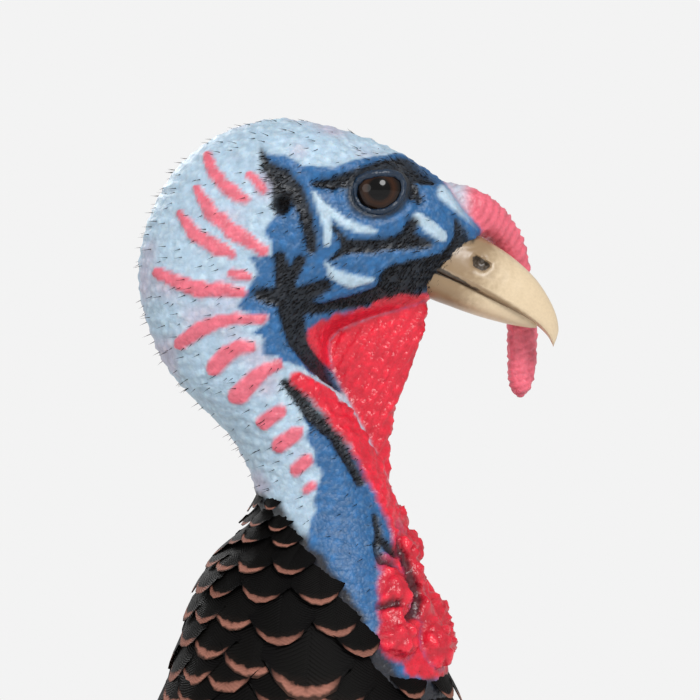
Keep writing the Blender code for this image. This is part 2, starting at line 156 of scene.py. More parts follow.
def hashed(cells: Array, seed: int) -> Array:
    """A repeatable number from 0 to 1 for each whole-number cell.

    Args:
        cells: three whole numbers for each.
        seed: which pattern it is.

    Returns:
        A number for each.
    """
    n = cells[..., 0] * 73856093 ^ cells[..., 1] * 19349663 ^ cells[..., 2] * 83492791
    n = (n ^ (seed * 668265263)) & 0xFFFFFFFF
    n = ((n ^ (n >> 15)) * 2246822519) & 0xFFFFFFFF
    n = ((n ^ (n >> 13)) * 3266489917) & 0xFFFFFFFF
    return ((n ^ (n >> 16)) & 0xFFFFFF) / 0xFFFFFF


def rolling(points: Array, size_mm: float, seed: int = 0) -> Array:
    """Smooth noise from -1 to 1, whose hills are about size_mm apart.

    Args:
        points: places in the model.
        size_mm: how far apart the hills are.
        seed: which pattern it is.

    Returns:
        A height for each.
    """
    scaled = points / (size_mm * MM)
    cell = np.floor(scaled).astype(np.int64)
    t = scaled - cell
    t = t * t * (3 - 2 * t)
    total = np.zeros(points.shape[:-1])
    for corner in np.ndindex(2, 2, 2):
        weight = np.prod([t[..., k] if corner[k] else 1 - t[..., k] for k in range(3)], axis=0)
        total += weight * hashed(cell + np.array(corner), seed)
    return total * 2 - 1


def pebbles(points: Array, size_mm: float, seed: int = 0) -> Array:
    """Rounded bumps about size_mm apart: 1 at the top of each, falling to 0 in the grooves between.

    Args:
        points: places in the model.
        size_mm: how far apart they are.
        seed: which pattern it is.

    Returns:
        A height for each.
    """
    scaled = points / (size_mm * MM)
    cell = np.floor(scaled).astype(np.int64)
    first = np.full(points.shape[:-1], 9.0)
    second = first.copy()
    for step in np.ndindex(3, 3, 3):
        near = cell + np.array(step) - 1
        heart = near + np.stack([hashed(near, seed + 11 * k) for k in range(3)], axis=-1)
        away = np.linalg.norm(scaled - heart, axis=-1)
        second = np.minimum(second, np.maximum(first, away))
        first = np.minimum(first, away)
    return eased(0.0, 0.55, second - first)


def distances(path: Sequence[tuple], x: Array, z: Array) -> Iterator[tuple[Array, Array]]:
    """For each leg of a path, how far along it the place nearest to each point lies, and how far off.

    Args:
        path: its points, forward and up.
        x: the points' places, forward.
        z: the points' places, up.

    Returns:
        For each leg, a share and a distance for each point.
    """
    for (x0, z0, *_), (x1, z1, *_) in zip(path, path[1:]):
        dx, dz = x1 - x0, z1 - z0
        t = np.clip(((x - x0) * dx + (z - z0) * dz) / max(dx * dx + dz * dz, 1e-9), 0.0, 1.0)
        yield t, np.hypot(x - x0 - t * dx, z - z0 - t * dz)


def banded(bands: Sequence[Sequence[Point]], x: Array, z: Array, soft: float = 0.9) -> Array:
    """How much of any band on the side of the head covers each place, from 0 to 1.

    Args:
        bands: each one's points (forward, up, half width), in mm from the eye.
        x: the places, forward.
        z: the places, up.
        soft: how far a band's edge fades, in mm.

    Returns:
        A cover for each place.
    """
    depth = np.full(x.shape, -99.0)
    for band in bands:
        for (_, _, r0), (_, _, r1), (t, away) in zip(band, band[1:], distances(band, x, z)):
            depth = np.maximum(depth, mixed(r0, r1, t) - away)
    return eased(-soft / 2, soft / 2, depth)


def enclosed(outline: Sequence[tuple[float, float]], x: Array, z: Array) -> Array:
    """How much of a closed outline, (forward, up) in mm from the eye, covers each place, from 0 to 1.

    Args:
        outline: its corners.
        x: how far forward each place is, in mm from the eye.
        z: how far up.

    Returns:
        A cover for each place.
    """
    inside, nearest = np.zeros(x.shape, bool), np.full(x.shape, 99.0)
    ring = (*outline, outline[0])
    for (x0, z0), (x1, z1), (_, away) in zip(ring, ring[1:], distances(ring, x, z)):
        nearest = np.minimum(nearest, away)
        if z0 != z1:
            inside ^= ((z0 > z) != (z1 > z)) & (x < (x1 - x0) * (z - z0) / (z1 - z0) + x0)
    return eased(-0.5, 0.5, np.where(inside, nearest, -nearest))


# ---- Surfaces that the skin and the feathers are laid out on -------------------------------------


def through(rows: Array, places: Array) -> Array:
    """Rows read at fractional places, on a Catmull-Rom curve through them.

    Args:
        rows: the values at whole places.
        places: where to read them.

    Returns:
        A row for each place.
    """
    ends = np.vstack([2 * rows[0] - rows[1], rows, 2 * rows[-1] - rows[-2]])
    i = np.clip(np.floor(places).astype(int), 0, len(rows) - 2)
    t = (places - i)[..., None]
    p0, p1, p2, p3 = ends[i], ends[i + 1], ends[i + 2], ends[i + 3]
    curve = 2 * p1 + (p2 - p0) * t + (2 * p0 - 5 * p1 + 4 * p2 - p3) * t**2
    return 0.5 * (curve + (3 * p1 - p0 - 3 * p2 + p3) * t**3)


class Surface:
    """A closed tube-like surface, laid out by a place along it and a share of the way round it.

    Along counts its stations from 0. Round runs from 0 at the top, over the bird's left side at
    0.25, to 1 at the top again.

    Attributes:
        table: what is given for each station.
        hand: 1, or -1 where along and round turn the other way about the outward direction.
        step: the small step that slopes are measured over.
    """

    table: Array
    hand: int = 1
    step: float = 1e-3

    @property
    def end(self) -> float:
        """The last station."""
        return len(self.table) - 1.0

    def point(self, along: Array, around: Array) -> Array:
        """The places on the surface."""
        raise NotImplementedError

    def normal(self, along: Array, around: Array) -> Array:
        """The outward directions of the surface.

        Args:
            along: stations along it.
            around: shares of the way round.

        Returns:
            Vectors of length one.
        """
        down = self.point(along + self.step, around) - self.point(along - self.step, around)
        across = self.point(along, around + self.step) - self.point(along, around - self.step)
        return unit(np.cross(across, down)) * self.hand

    def lifted(self, along: Array, around: Array, lift: Array | float) -> Array:
        """The places at a height of lift mm over the surface."""
        height = np.broadcast_to(np.asarray(lift, float), np.shape(along))[..., None]
        return self.point(along, around) + self.normal(along, around) * height * MM

    def paces(self, along: Array, around: Array) -> tuple[Array, Array]:
        """How many mm a station and a whole turn would be from each place, at the pace there.

        Args:
            along: stations along it.
            around: shares of the way round.

        Returns:
            The mm for a station, and those for a turn.
        """
        here = self.point(along, around)
        down = np.linalg.norm(self.point(along + STATION_STEP, around) - here, axis=1)
        across = np.linalg.norm(self.point(along, around + TURN_STEP) - here, axis=1)
        return down / STATION_STEP / MM, across / TURN_STEP / MM

    def grid(self, start: float, end: float, rows: int, columns: int) -> tuple[Array, Array]:
        """A net of rows x columns from one station to another, once round."""
        return net(np.linspace(start, end, rows), np.arange(columns) / columns)

    def form(
        self, rows: int, columns: int, span: Span | None = None, lift: float = 0.0, box: Box | None = None
    ) -> "Form":
        """The surface as a closed form with a cap at each end.

        Args:
            rows: how many rings.
            columns: how many corners round each ring.
            span: the first and last station; all of them if not given.
            lift: the height over the surface, in mm.
            box: its part of the bake map, if it has one.

        Returns:
            The form, with a bake map if it has a box.
        """
        start, end = span or (0.0, self.end)
        along, around = self.grid(start, end, rows, columns)
        form = Form.from_rings(self.lifted(along, around, lift))
        if box:
            share = (along - start) / (end - start)
            form.face_maps["OFBake"] = form.chart(share.ravel(), around.ravel(), box)
        return form

    def polygons(self, rows: int = 80, columns: int = 48, span: Span | None = None) -> BVHTree:
        """The surface as a tree of its faces, for finding distances."""
        form = self.form(rows, columns, span)
        return BVHTree.FromPolygons(form.points.tolist(), [f.tolist() for faces in form.faces for f in faces])

    def located(self, points: Array, end: float, rows: int = 160, columns: int = 72) -> tuple[Array, Array]:
        """Where each point lies on the surface, along and round.

        Args:
            points: places near the surface.
            end: the last station to look at.
            rows: the fineness of the search along the surface.
            columns: the fineness of the search round it.

        Returns:
            Each point's station, and its share of the way round.
        """
        along, around = (v.ravel() for v in self.grid(0.0, end, rows, columns))
        here = self.point(along, around)
        tree = kdtree.KDTree(len(here))
        for i, place in enumerate(here):
            tree.insert(place, i)
        tree.balance()
        found = np.array([tree.find(place)[1] for place in points])
        along, around = along[found], around[found]
        for _ in range(2):
            base = self.point(along, around)
            off = points - base
            moves = []
            for a, b, most in ((self.step, 0.0, 0.2), (0.0, self.step, 0.03)):
                way = (self.point(along + a, around + b) - base) / self.step
                move = (off * way).sum(-1) / np.maximum((way * way).sum(-1), 1e-12)
                moves.append(np.clip(move, -most, most))
            along, around = along + moves[0], around + moves[1]
        return along, around % 1.0


@dataclass
class Loft(Surface):
    """Rings between an upper and a lower outline, with rounded-square sections.

    Attributes:
        rows: for each station (upper x, upper z, lower x, lower z, half width), in mm.
        origin: turns (x, y, z) in mm into a place in the model.
        square: the exponent of the sections: 2 is an ellipse, more is squarer.
    """

    rows: Sequence[tuple[float, float, float, float, float]]
    origin: Point = (0.0, 0.0, 0.0)
    square: float = 2.2

    def __post_init__(self) -> None:
        """Keeps the stations as an array."""
        self.table = np.array(self.rows, float)

    def point(self, along: Array, around: Array) -> Array:
        """The places on the surface.

        Args:
            along: stations along it.
            around: shares of the way round.

        Returns:
            Places in the model.
        """
        ux, uz, lx, lz, half = np.moveaxis(through(self.table, np.asarray(along, float)), -1, 0)
        turn = TAU * np.asarray(around, float)
        sine, cosine = np.sin(turn), np.cos(turn)
        across = np.sign(sine) * np.abs(sine) ** (2 / self.square)
        share = (1 - np.sign(cosine) * np.abs(cosine) ** (2 / self.square)) / 2
        x = mixed(ux, lx, share) + self.origin[0] - MIDDLE_X
        z = mixed(uz, lz, share) + self.origin[2]
        return np.stack([x, half * across, z], axis=-1) * MM


@dataclass
class Tube(Surface):
    """A round or flattened tube along a smooth path.

    Attributes:
        path: places in the model.
        radii: in mm, one for each place.
        flat: scales the section's height.
        floor: no point goes under this height, in mm.
    """

    path: Sequence[Array]
    radii: Sequence[float]
    flat: float = 1.0
    floor: float | None = None

    def __post_init__(self) -> None:
        """Keeps the stations as an array."""
        self.table = np.array([(*p, r * MM) for p, r in zip(self.path, self.radii)], float)

    def point(self, along: Array, around: Array) -> Array:
        """The places on the surface.

        Args:
            along: stations along it.
            around: shares of the way round.

        Returns:
            Places in the model.
        """
        along = np.asarray(along, float)
        row = through(self.table, along)
        ahead, behind = (through(self.table, along + step)[..., :3] for step in (0.02, -0.02))
        tangent = unit(ahead - behind)
        steep = np.abs(tangent[..., 2:3]) > 0.7
        side = unit(np.cross(tangent, np.where(steep, np.array((1.0, 0.0, 0.0)), np.array((0.0, 0.0, 1.0)))))
        turn = TAU * np.asarray(around, float)[..., None]
        out = side * np.sin(turn) + np.cross(side, tangent) * np.cos(turn) * self.flat
        places = row[..., :3] + out * row[..., 3:4]
        if self.floor is not None:
            places[..., 2] = np.maximum(places[..., 2], self.floor * MM)
        return places


# ---- Meshes --------------------------------------------------------------------------------------


def shown(name: str, data: bpy.types.ID) -> Object:
    """A new object of the scene with the data given.

    Args:
        name: its name.
        data: its mesh, lamp or camera.

    Returns:
        The object.
    """
    made = bpy.data.objects.new(name, data)
    bpy.context.scene.collection.objects.link(made)
    return made


def strips(a: Array, b: Array) -> Array:
    """The quads between two rows of corner numbers, or two blocks of them."""
    return np.stack([a[:-1], a[1:], b[1:], b[:-1]], axis=-1).reshape(-1, 4)


def wrapped(index: Array, closed: bool = False) -> Array:
    """The quads of a net of corner numbers, once round it; if closed, also from its last row to its first."""
    rings = np.vstack([index, index[:1]]) if closed else index
    return strips(rings, np.roll(rings, -1, axis=1))


@dataclass
class Form:
    """A mesh in the making.

    Attributes:
        points: the corners' places.
        faces: arrays of corner numbers, each array for faces with the same number of corners.
        values: numbers for each corner, by attribute name.
        maps: a map place for each corner, by map name.
        face_maps: a map place for each corner of each face in turn, by map name.
    """

    points: Array
    faces: list[Array]
    values: dict[str, Array] = field(default_factory=dict)
    maps: dict[str, Array] = field(default_factory=dict)
    face_maps: dict[str, Array] = field(default_factory=dict)

    @classmethod
    def from_rings(cls, rings: Array) -> "Form":
        """A closed form from an array of rings, rows x columns x 3, capped at both ends."""
        index = np.arange(rings.shape[0] * rings.shape[1]).reshape(rings.shape[:2])
        return cls(rings.reshape(-1, 3), [wrapped(index), index[:1], index[-1:, ::-1]])

    @classmethod
    def grown(cls, ground: "Form", kind: str, settings: dict[str, object]) -> "Form":
        """The corners and faces that a modifier makes of a form.

        Args:
            ground: what the modifier works on.
            kind: its type.
            settings: its properties, and its inputs by identifier.

        Returns:
            A form of its own.
        """
        base = shown("ground", ground.mesh("ground"))
        modifier = base.modifiers.new("Grow", kind)
        for name, value in settings.items():
            if name in modifier.bl_rna.properties:
                setattr(modifier, name, value)
            else:
                modifier[name] = value
        mesh = bpy.data.meshes.new_from_object(base.evaluated_get(bpy.context.evaluated_depsgraph_get()))

        def read(items: Sequence, name: str, width: int = 1, kind: type = np.int32) -> Array:
            """A property of each item as an array.

            Args:
                items: the mesh's vertices, loops or faces.
                name: the property.
                width: how many numbers it has.
                kind: their type.

            Returns:
                The numbers in a row.
            """
            got = np.zeros(len(items) * width, kind)
            items.foreach_get(name, got)
            return got

        sizes, starts = read(mesh.polygons, "loop_total"), read(mesh.polygons, "loop_start")
        corners = read(mesh.loops, "vertex_index")
        faces = [corners[starts[sizes == n][:, None] + np.arange(n)] for n in np.unique(sizes)]
        made = cls(read(mesh.vertices, "co", 3, float).reshape(-1, 3), faces)
        bpy.data.objects.remove(base)
        bpy.data.meshes.remove(mesh)
        return made

    @classmethod
    def joined(cls, forms: Sequence["Form"]) -> "Form":
        """Several forms as one, with what they all carry.

        Args:
            forms: the forms, in order.

        Returns:
            One form.
        """
        faces, start = [], 0
        for form in forms:
            faces += [f + start for f in form.faces]
            start += len(form.points)

        def together(of: str) -> dict[str, Array]:
            """The values that every form has, one after another.

            Args:
                of: which of the forms' groups.

            Returns:
                The joined values, by name.
            """
            carried = [getattr(form, of) for form in forms]
            names = sorted(set.intersection(*map(set, carried)))
            return {name: np.concatenate([values[name] for values in carried]) for name in names}

        points = np.concatenate([form.points for form in forms])
        return cls(points, faces, together("values"), together("maps"), together("face_maps"))

    def chart(self, along: Array, around: Array, box: Box) -> Array:
        """Lays every face out on a part of a map, by where its corners lie along and round a surface.

        Args:
            along: each corner's place along, from 0 to 1.
            around: each corner's share of the way round; a face that crosses the seam stays whole.
            box: the part of the map.

        Returns:
            The map place of each corner of each face in turn.
        """
        made = []
        for faces in self.faces:
            turn = around[faces] % 1.0
            crosses = np.ptp(turn, axis=1, keepdims=True) > 0.5
            turn = np.where(crosses & (turn < 0.5), turn + 1.0, turn)
            u = mixed(box[0], box[2], np.clip(turn / 1.06, 0, 1))
            v = mixed(box[1], box[3], np.clip(along[faces], 0, 1))
            made.append(np.stack([u, v], axis=-1).reshape(-1, 2))
        return np.concatenate(made)

    def mesh(self, name: str) -> bpy.types.Mesh:
        """The form as a mesh with its values and maps; without faces, a line through its points.

        Args:
            name: the mesh's name.

        Returns:
            The mesh.
        """
        mesh = bpy.data.meshes.new(name)
        if not self.faces:
            line = np.arange(len(self.points) - 1)
            mesh.from_pydata(self.points.tolist(), np.stack([line, line + 1], axis=-1).tolist(), [])
            return mesh
        corners = np.concatenate([f.ravel() for f in self.faces])
        sizes = np.concatenate([np.full(len(f), f.shape[1]) for f in self.faces])
        mesh.vertices.add(len(self.points))
        mesh.vertices.foreach_set("co", self.points.astype(np.float32).ravel())
        mesh.loops.add(len(corners))
        mesh.loops.foreach_set("vertex_index", corners.astype(np.int32))
        mesh.polygons.add(len(sizes))
        mesh.polygons.foreach_set("loop_start", np.concatenate([[0], np.cumsum(sizes)[:-1]]).astype(np.int32))
        mesh.update(calc_edges=True)
        for label, value in self.values.items():
            many = value.ndim > 1
            layer = mesh.attributes.new(label, "FLOAT_COLOR" if many else "FLOAT", "POINT")
            if many:
                value = np.concatenate([value, np.ones((len(value), 1))], axis=1)
            layer.data.foreach_set("color" if many else "value", value.astype(np.float32).ravel())
        flat = {label: places[corners] for label, places in self.maps.items()} | self.face_maps
        for label, places in flat.items():
            layer = mesh.uv_layers.new(name=label)
            layer.data.foreach_set("uv", places.astype(np.float32).ravel())
        return mesh

    def relax(self, rounds: int, share: Array | float) -> None:
        """Moves each corner of a closed form of quads towards the middle of its neighbours.

        Args:
            rounds: how many times.
            share: how far it goes each time, one for all or one for each corner.
        """
        faces = self.faces[0]
        here, there = faces.ravel(), np.roll(faces, -1, axis=1).ravel()
        number = len(self.points)
        count = np.maximum(np.bincount(here, minlength=number), 1)
        share = np.broadcast_to(share, number)[:, None]
        for _ in range(rounds):
            total = np.stack([np.bincount(here, self.points[there, k], number) for k in range(3)], axis=1)
            self.points = self.points + (total / count[:, None] - self.points) * share

    def blended(self, voxel: float, rounds: int) -> "Form":
        """The form's overlapping parts grown into one closed skin of quads.

        Args:
            voxel: the size of its faces, in mm.
            rounds: how many times each corner moves half way to the middle of its neighbours.

        Returns:
            A form of its own.
        """
        made = Form.grown(self, "REMESH", {"mode": "VOXEL", "voxel_size": voxel * MM})
        made.relax(rounds, 0.5)
        return made

    def normals(self) -> Array:
        """The outward direction at each corner.

        Returns:
            Vectors of length one.
        """
        total = np.zeros_like(self.points)
        for faces in self.faces:
            p = self.points[faces]
            across = np.cross(p[:, 2] - p[:, 0], p[:, -1] - p[:, 1])
            for k in range(faces.shape[1]):
                np.add.at(total, faces[:, k], across)
        return unit(total)

    def skinned(self, tint: Array, wet: Array | float = 0.0, bristle: Array | float = 0.0) -> "Form":
        """Gives the corners what the skin's finish reads: a colour, and how wet and how bristly they are.

        Args:
            tint: linear colours.
            wet: from 0 to 1.
            bristle: from 0 to 1.

        Returns:
            The same form.
        """
        count = len(self.points)
        self.values["Tint"] = np.broadcast_to(tint, (count, 3)).copy()
        for name, value in (("Wet", wet), ("Bristle", bristle)):
            self.values[name] = np.broadcast_to(value, count).astype(float)
        return self


# ---- Colours, nodes and finishes -----------------------------------------------------------------


class Hue(StrEnum):
    """The colours of the bird's skin and scales, as sRGB hex, with a near black and a dark red that are
    painted shade.
    """

    PALE = "B5CBD9"
    BLUE = "20659E"
    # Near black: painted shade, in the creases, clefts, ear, wart grooves and round the eyes, and on the
    # lids.
    NIGHT = "0D1219"
    PINK = "E4687A"
    RED = "E8203A"
    # Dark red: painted shade, in the grooves of the red and pink skin, between the caruncles and in the
    # snood's troughs.
    BLOOD = "8E1422"
    DOWN = "1C1613"
    SCUTE = "C0716B"
    SCUTE_EDGE = "7E3F3E"
    SOLE = "A98272"


class Sheen(StrEnum):
    """The metallic colours that the body feathers mirror, as sRGB hex."""

    COPPER = "764A2C"
    GOLD = "67562E"
    GREEN = "36563B"
    ROSE = "663A2F"
    UMBER = "33241B"
    DUSK = "1A1310"


def linear(colour: str) -> Array:
    """An sRGB hex colour as linear red, green and blue."""
    srgb = np.array([int(colour[i : i + 2], 16) for i in (0, 2, 4)]) / 255
    return np.where(srgb <= 0.04045, srgb / 12.92, ((srgb + 0.055) / 1.055) ** 2.4)


def rgba(colour: str) -> tuple[float, float, float, float]:
    """An sRGB hex colour as a linear socket value."""
    return (*linear(colour), 1.0)


def layered(base: str | Array, *coats: tuple[str | Array, Array]) -> Array:
    """Coats of colour laid one over another.

    Args:
        base: the colour under them all.
        coats: each one's colour, and how much of it covers each place, from 0 to 1.

    Returns:
        Each place's linear colour.
    """
    made = linear(base) if isinstance(base, str) else base
    for colour, share in coats:
        colour = linear(colour) if isinstance(colour, str) else colour
        made = mixed(made, colour, np.asarray(share)[..., None])
    return made


class Wiring:
    """A node tree in the making.

    Attributes:
        tree: the tree.
    """

    tree: bpy.types.NodeTree

    def add(self, kind: str, inputs: dict | None = None, **settings: object) -> Node:
        """Adds a node with its settings and links.

        Args:
            kind: the node's type.
            inputs: socket name or number to a value, a socket to link, or a colour socket's hex colour.
            settings: the node's own properties.

        Returns:
            The node.
        """
        made = self.tree.nodes.new(kind)
        for label, value in settings.items():
            setattr(made, label, value)
        for label, value in (inputs or {}).items():
            if isinstance(value, Socket):
                self.tree.links.new(value, made.inputs[label])
            else:
                hexed = made.inputs[label].type == "RGBA" and isinstance(value, str)
                made.inputs[label].default_value = rgba(value) if hexed else value
        return made

    def maths(self, operation: str, *values: object) -> Socket:
        """The result of a Math node on sockets or numbers."""
        return self.add("ShaderNodeMath", dict(enumerate(values)), operation=operation).outputs[0]

    def vector(self, operation: str, a: object, b: object) -> Socket:
        """The result of a Vector Math node on two vectors, or on a vector and its scale."""
        second = "Scale" if operation == "SCALE" else 1
        return self.add("ShaderNodeVectorMath", {0: a, second: b}, operation=operation).outputs[0]


class Recipe(Wiring):
    """A material in the making: its node tree and its Principled shader."""

    def __init__(self, name: str, **settings: float | tuple) -> None:
        """Starts a material.

        Args:
            name: what the surface is.
            settings: constant values for the shader's sockets, with _ for a space.
        """
        self.material = bpy.data.materials.new(name)
        self.material.use_nodes = True
        self.tree = self.material.node_tree
        self.shader = self.tree.nodes["Principled BSDF"]
        for socket, value in settings.items():
            self.shader.inputs[socket.replace("_", " ")].default_value = value

    def attribute(self, name: str, output: str = "Fac") -> Socket:
        """What the mesh says at each corner."""
        return self.add("ShaderNodeAttribute", attribute_name=name).outputs[output]

    def vane_place(self) -> tuple[Socket, Socket]:
        """The place across a vane, from 0 in its middle to 1 at its edges, and along it.

        Returns:
            The two numbers' sockets.
        """
        split = self.add("ShaderNodeSeparateXYZ", {0: self.add("ShaderNodeUVMap", uv_map="Vane").outputs[0]})
        across = self.maths("MULTIPLY_ADD", split.outputs[0], 2.0, -1.0)
        return self.maths("ABSOLUTE", across), split.outputs[1]

    def ramp(self, factor: Socket, stops: Sequence[tuple], smooth: bool = False) -> Socket:
        """A colour from stops of (place, hex colour or grey level).

        Args:
            factor: what is read.
            stops: in order.
            smooth: whether it eases from stop to stop.

        Returns:
            The colour's socket.
        """
        made = self.add("ShaderNodeValToRGB", {"Fac": factor})
        made.color_ramp.interpolation = "EASE" if smooth else "LINEAR"
        for i, (place, value) in enumerate(stops):
            stop = made.color_ramp.elements[i] if i < 2 else made.color_ramp.elements.new(place)
            stop.position = place
            stop.color = rgba(value) if isinstance(value, str) else (value, value, value, 1.0)
        return made.outputs["Color"]

    def fall(self, value: Socket, low: float, high: float, start: float = 0.0, end: float = 1.0) -> Socket:
        """A number that goes from start to end while the value goes from low to high."""
        return self.add("ShaderNodeMapRange", {0: value, 1: low, 2: high, 3: start, 4: end}).outputs[0]

    def blend(self, factor: object, a: object, b: object, mode: str = "MIX") -> Socket:
        """Two colours mixed by a factor."""
        inputs = {0: factor, 6: a, 7: b}
        return self.add("ShaderNodeMix", inputs, data_type="RGBA", blend_type=mode).outputs[2]

    def dimmed(self, colour: Socket, level: Socket) -> Socket:
        """A colour times a level of light."""
        grey = self.add("ShaderNodeCombineColor", {0: level, 1: level, 2: level}).outputs[0]
        return self.blend(1.0, colour, grey, "MULTIPLY")

    def noise(self, size_mm: float, detail: float = 3.0) -> Socket:
        """Noise whose hills are about size_mm across, from 0 to 1.

        Args:
            size_mm: the hills' size.
            detail: how many finer layers it has.

        Returns:
            Its socket.
        """
        place = self.add("ShaderNodeTexCoord").outputs["Object"]
        inputs = {"Vector": place, "Scale": 1 / (size_mm * MM), "Detail": detail}
        return self.add("ShaderNodeTexNoise", inputs).outputs["Fac"]

    def bump(self, height: Socket, depth_mm: float, strength: float) -> None:
        """Raises the surface by height times depth_mm."""
        made = self.add("ShaderNodeBump", {"Height": height, "Distance": depth_mm * MM, "Strength": strength})
        self.tree.links.new(made.outputs[0], self.shader.inputs["Normal"])

    def drive(self, **sockets: Socket) -> Material:
        """Links sockets to the shader's inputs, with _ for a space, which finishes the material.

        Args:
            sockets: what feeds each of the shader's inputs.

        Returns:
            The new material.
        """
        for label, value in sockets.items():
            self.tree.links.new(value, self.shader.inputs[label.replace("_", " ")])
        return self.material


@dataclass(frozen=True)
class BareSkin:
    """Live bare skin, thin over flesh: a soft sheen, deep in colour, pebbled all over.

    Its colours are in the mesh; the nodes add the mottling and pores too fine for the mesh, so
    that near by it looks like skin rather than like paint.

    Attributes:
        pore_mm: how far apart the pores are.
        mottle_mm: how far apart the paler and darker flecks are.
    """

    pore_mm: float = 0.9
    mottle_mm: float = 2.6

    def material(self) -> Material:
        """The finish as a material.

        Returns:
            The new material.
        """
        made = Recipe(
            "bare warty skin", Roughness=0.42, Specular_IOR_Level=0.5, Subsurface_Weight=0.12,
            Subsurface_Scale=1.5 * MM, Subsurface_Radius=(1.0, 0.35, 0.25),
        )
        tint, wet = made.attribute("Tint", "Color"), made.attribute("Wet")
        mottle = made.fall(made.noise(self.mottle_mm), 0.3, 0.7, 0.82, 1.1)
        colour = made.dimmed(tint, mottle)
        cells = {"Vector": made.add("ShaderNodeTexCoord").outputs["Object"], "Scale": 1 / (self.pore_mm * MM)}
        pores = made.add("ShaderNodeTexVoronoi", cells, feature="F1").outputs["Distance"]
        dull = made.maths("MULTIPLY_ADD", mottle, 0.1, 0.38)
        rough = made.maths("SUBTRACT", dull, made.maths("MULTIPLY", wet, 0.14))
        made.bump(made.maths("SUBTRACT", 1.0, made.maths("MULTIPLY", pores, pores)), 0.16, 0.8)
        return made.drive(Base_Color=colour, Roughness=rough)


@dataclass(frozen=True)
class EyeGloss:
    """A wet eyeball: a dark brown iris with fine rays round a black pupil, under a clear glossy coat.

    Attributes:
        rays: how many rays the iris has, times a whole turn.
        stops: the colours from the pupil's middle outward.
    """

    rays: float = 90.0
    stops: tuple[tuple[float, str], ...] = (
        (0.0, "030303"), (0.335, "040303"), (0.36, "1C0E07"), (0.47, "331C0E"), (0.6, "1C0F08"),
        (0.66, "080505"), (0.8, "050404"),
    )

    def material(self) -> Material:
        """The finish as a material.

        Returns:
            The new material.
        """
        made = Recipe(
            "wet eyeball", Roughness=0.2, Coat_Weight=0.8, Coat_Roughness=0.015, Coat_IOR=1.34,
            Specular_IOR_Level=0.05,
        )
        out, turn = made.attribute("Out"), made.attribute("Turn")
        rays = made.maths("SINE", made.maths("MULTIPLY", turn, self.rays))
        place = made.maths("ADD", out, made.maths("MULTIPLY", rays, 0.006))
        return made.drive(Base_Color=made.ramp(place, self.stops))


@dataclass(frozen=True)
class Horn:
    """Grown keratin, as of a bill or claw: hard and satin, with growth lines and a worn pale edge.

    Attributes:
        name: what the piece is made of.
        root: the colour where it leaves the skin.
        tip: the colour at its end.
        roughness: how dull it is.
        grain_mm: how far apart the flecks are.
        lines: how many growth lines it has, times a whole turn.
        deep: the painted shade in hollows and under the skin's edge, or the root's colour.
    """

    name: str
    root: str
    tip: str
    roughness: float = 0.34
    grain_mm: float = 1.6
    lines: float = 70.0
    deep: str = ""

    def material(self) -> Material:
        """The finish as a material.

        Returns:
            The new material.
        """
        made = Recipe(self.name, Coat_Weight=0.15, Coat_Roughness=0.2)
        far = made.attribute("Far")
        grain = made.noise(self.grain_mm, 4.0)
        place = made.maths("ADD", far, made.maths("MULTIPLY_ADD", grain, 0.22, -0.11))
        # Where deep is given, the lowest places of Far take it as painted shade: on the bill, the nostril,
        # the skin's edge and the mouth.
        stops = (self.deep or self.root, self.root, self.root, self.tip, self.tip)
        colour = made.ramp(place, list(zip((0.0, 0.1, 0.26, 0.62, 1.0), stops)), smooth=True)
        colour = made.blend(made.maths("MULTIPLY", made.noise(0.7, 2.0), 0.3), colour, self.root)
        rough = made.maths("MULTIPLY_ADD", grain, 0.16, self.roughness - 0.08)
        lines = made.maths("SINE", made.maths("MULTIPLY", far, self.lines))
        made.bump(made.maths("MULTIPLY_ADD", lines, 0.25, grain), 0.14, 0.6)
        return made.drive(Base_Color=colour, Roughness=rough)


# ---- The whole animal's form ---------------------------------------------------------------------

# Each station: a point of the upper outline, a point of the lower one (x, z) and the half width, in
# mm; the head's from the eye, the body's from between the feet.
HEAD_STATIONS = {
    "bill base": (27.0, -9.5, 14.0, -28.0, 8.6),
    "lores": (17.0, 4.0, 6.0, -31.0, 14.0),
    "eye": (-3.0, 15.5, -5.0, -34.5, 18.6),
    "crown": (-30.0, 20.5, -12.0, -38.0, 20.6),
    "occiput": (-54.0, 8.5, -14.0, -42.5, 20.8),
    "nape": (-65.5, -19.0, -12.0, -49.0, 20.2),
    "hind neck": (-58.5, -46.0, -7.0, -58.5, 18.8),
    "neck waist": (-39.5, -67.5, -0.5, -71.0, 17.2),
    "hackle line": (-34.5, -85.0, 5.5, -88.0, 18.0),
    "ruff": (-48.5, -105.0, 12.0, -107.0, 25.5),
}
BODY_STATIONS = {
    "lower neck": (172.0, 715.0, 262.0, 706.0, 38.0),
    "neck root": (146.0, 660.0, 281.0, 632.0, 60.0),
    "prow": (104.0, 629.0, 292.0, 540.0, 95.0),
    "breast": (52.0, 612.0, 271.0, 444.0, 120.0),
    "keel": (-18.0, 591.0, 196.0, 360.0, 134.0),
    "belly": (-96.0, 566.0, 75.0, 314.0, 136.0),
    "flank": (-174.0, 532.0, -56.0, 315.0, 124.0),
    "vent": (-249.0, 489.0, -173.0, 344.0, 96.0),
    "rump": (-331.0, 444.0, -284.0, 362.0, 72.0),
    "covert tips": (-400.0, 407.0, -372.0, 362.0, 62.0),
    "tail root": (-470.0, 357.0, -458.0, 334.0, 57.0),
}
PLACES = {name: i for i, name in enumerate((*HEAD_STATIONS, *BODY_STATIONS))}
EYE_OFFSET = np.array((EYE_PLACE[0], EYE_PLACE[2], EYE_PLACE[0], EYE_PLACE[2], 0.0))
BODY = Loft([*(EYE_OFFSET + row for row in HEAD_STATIONS.values()), *BODY_STATIONS.values()])
NECK_END = 10.2  # the station where the bare skin's bake map ends

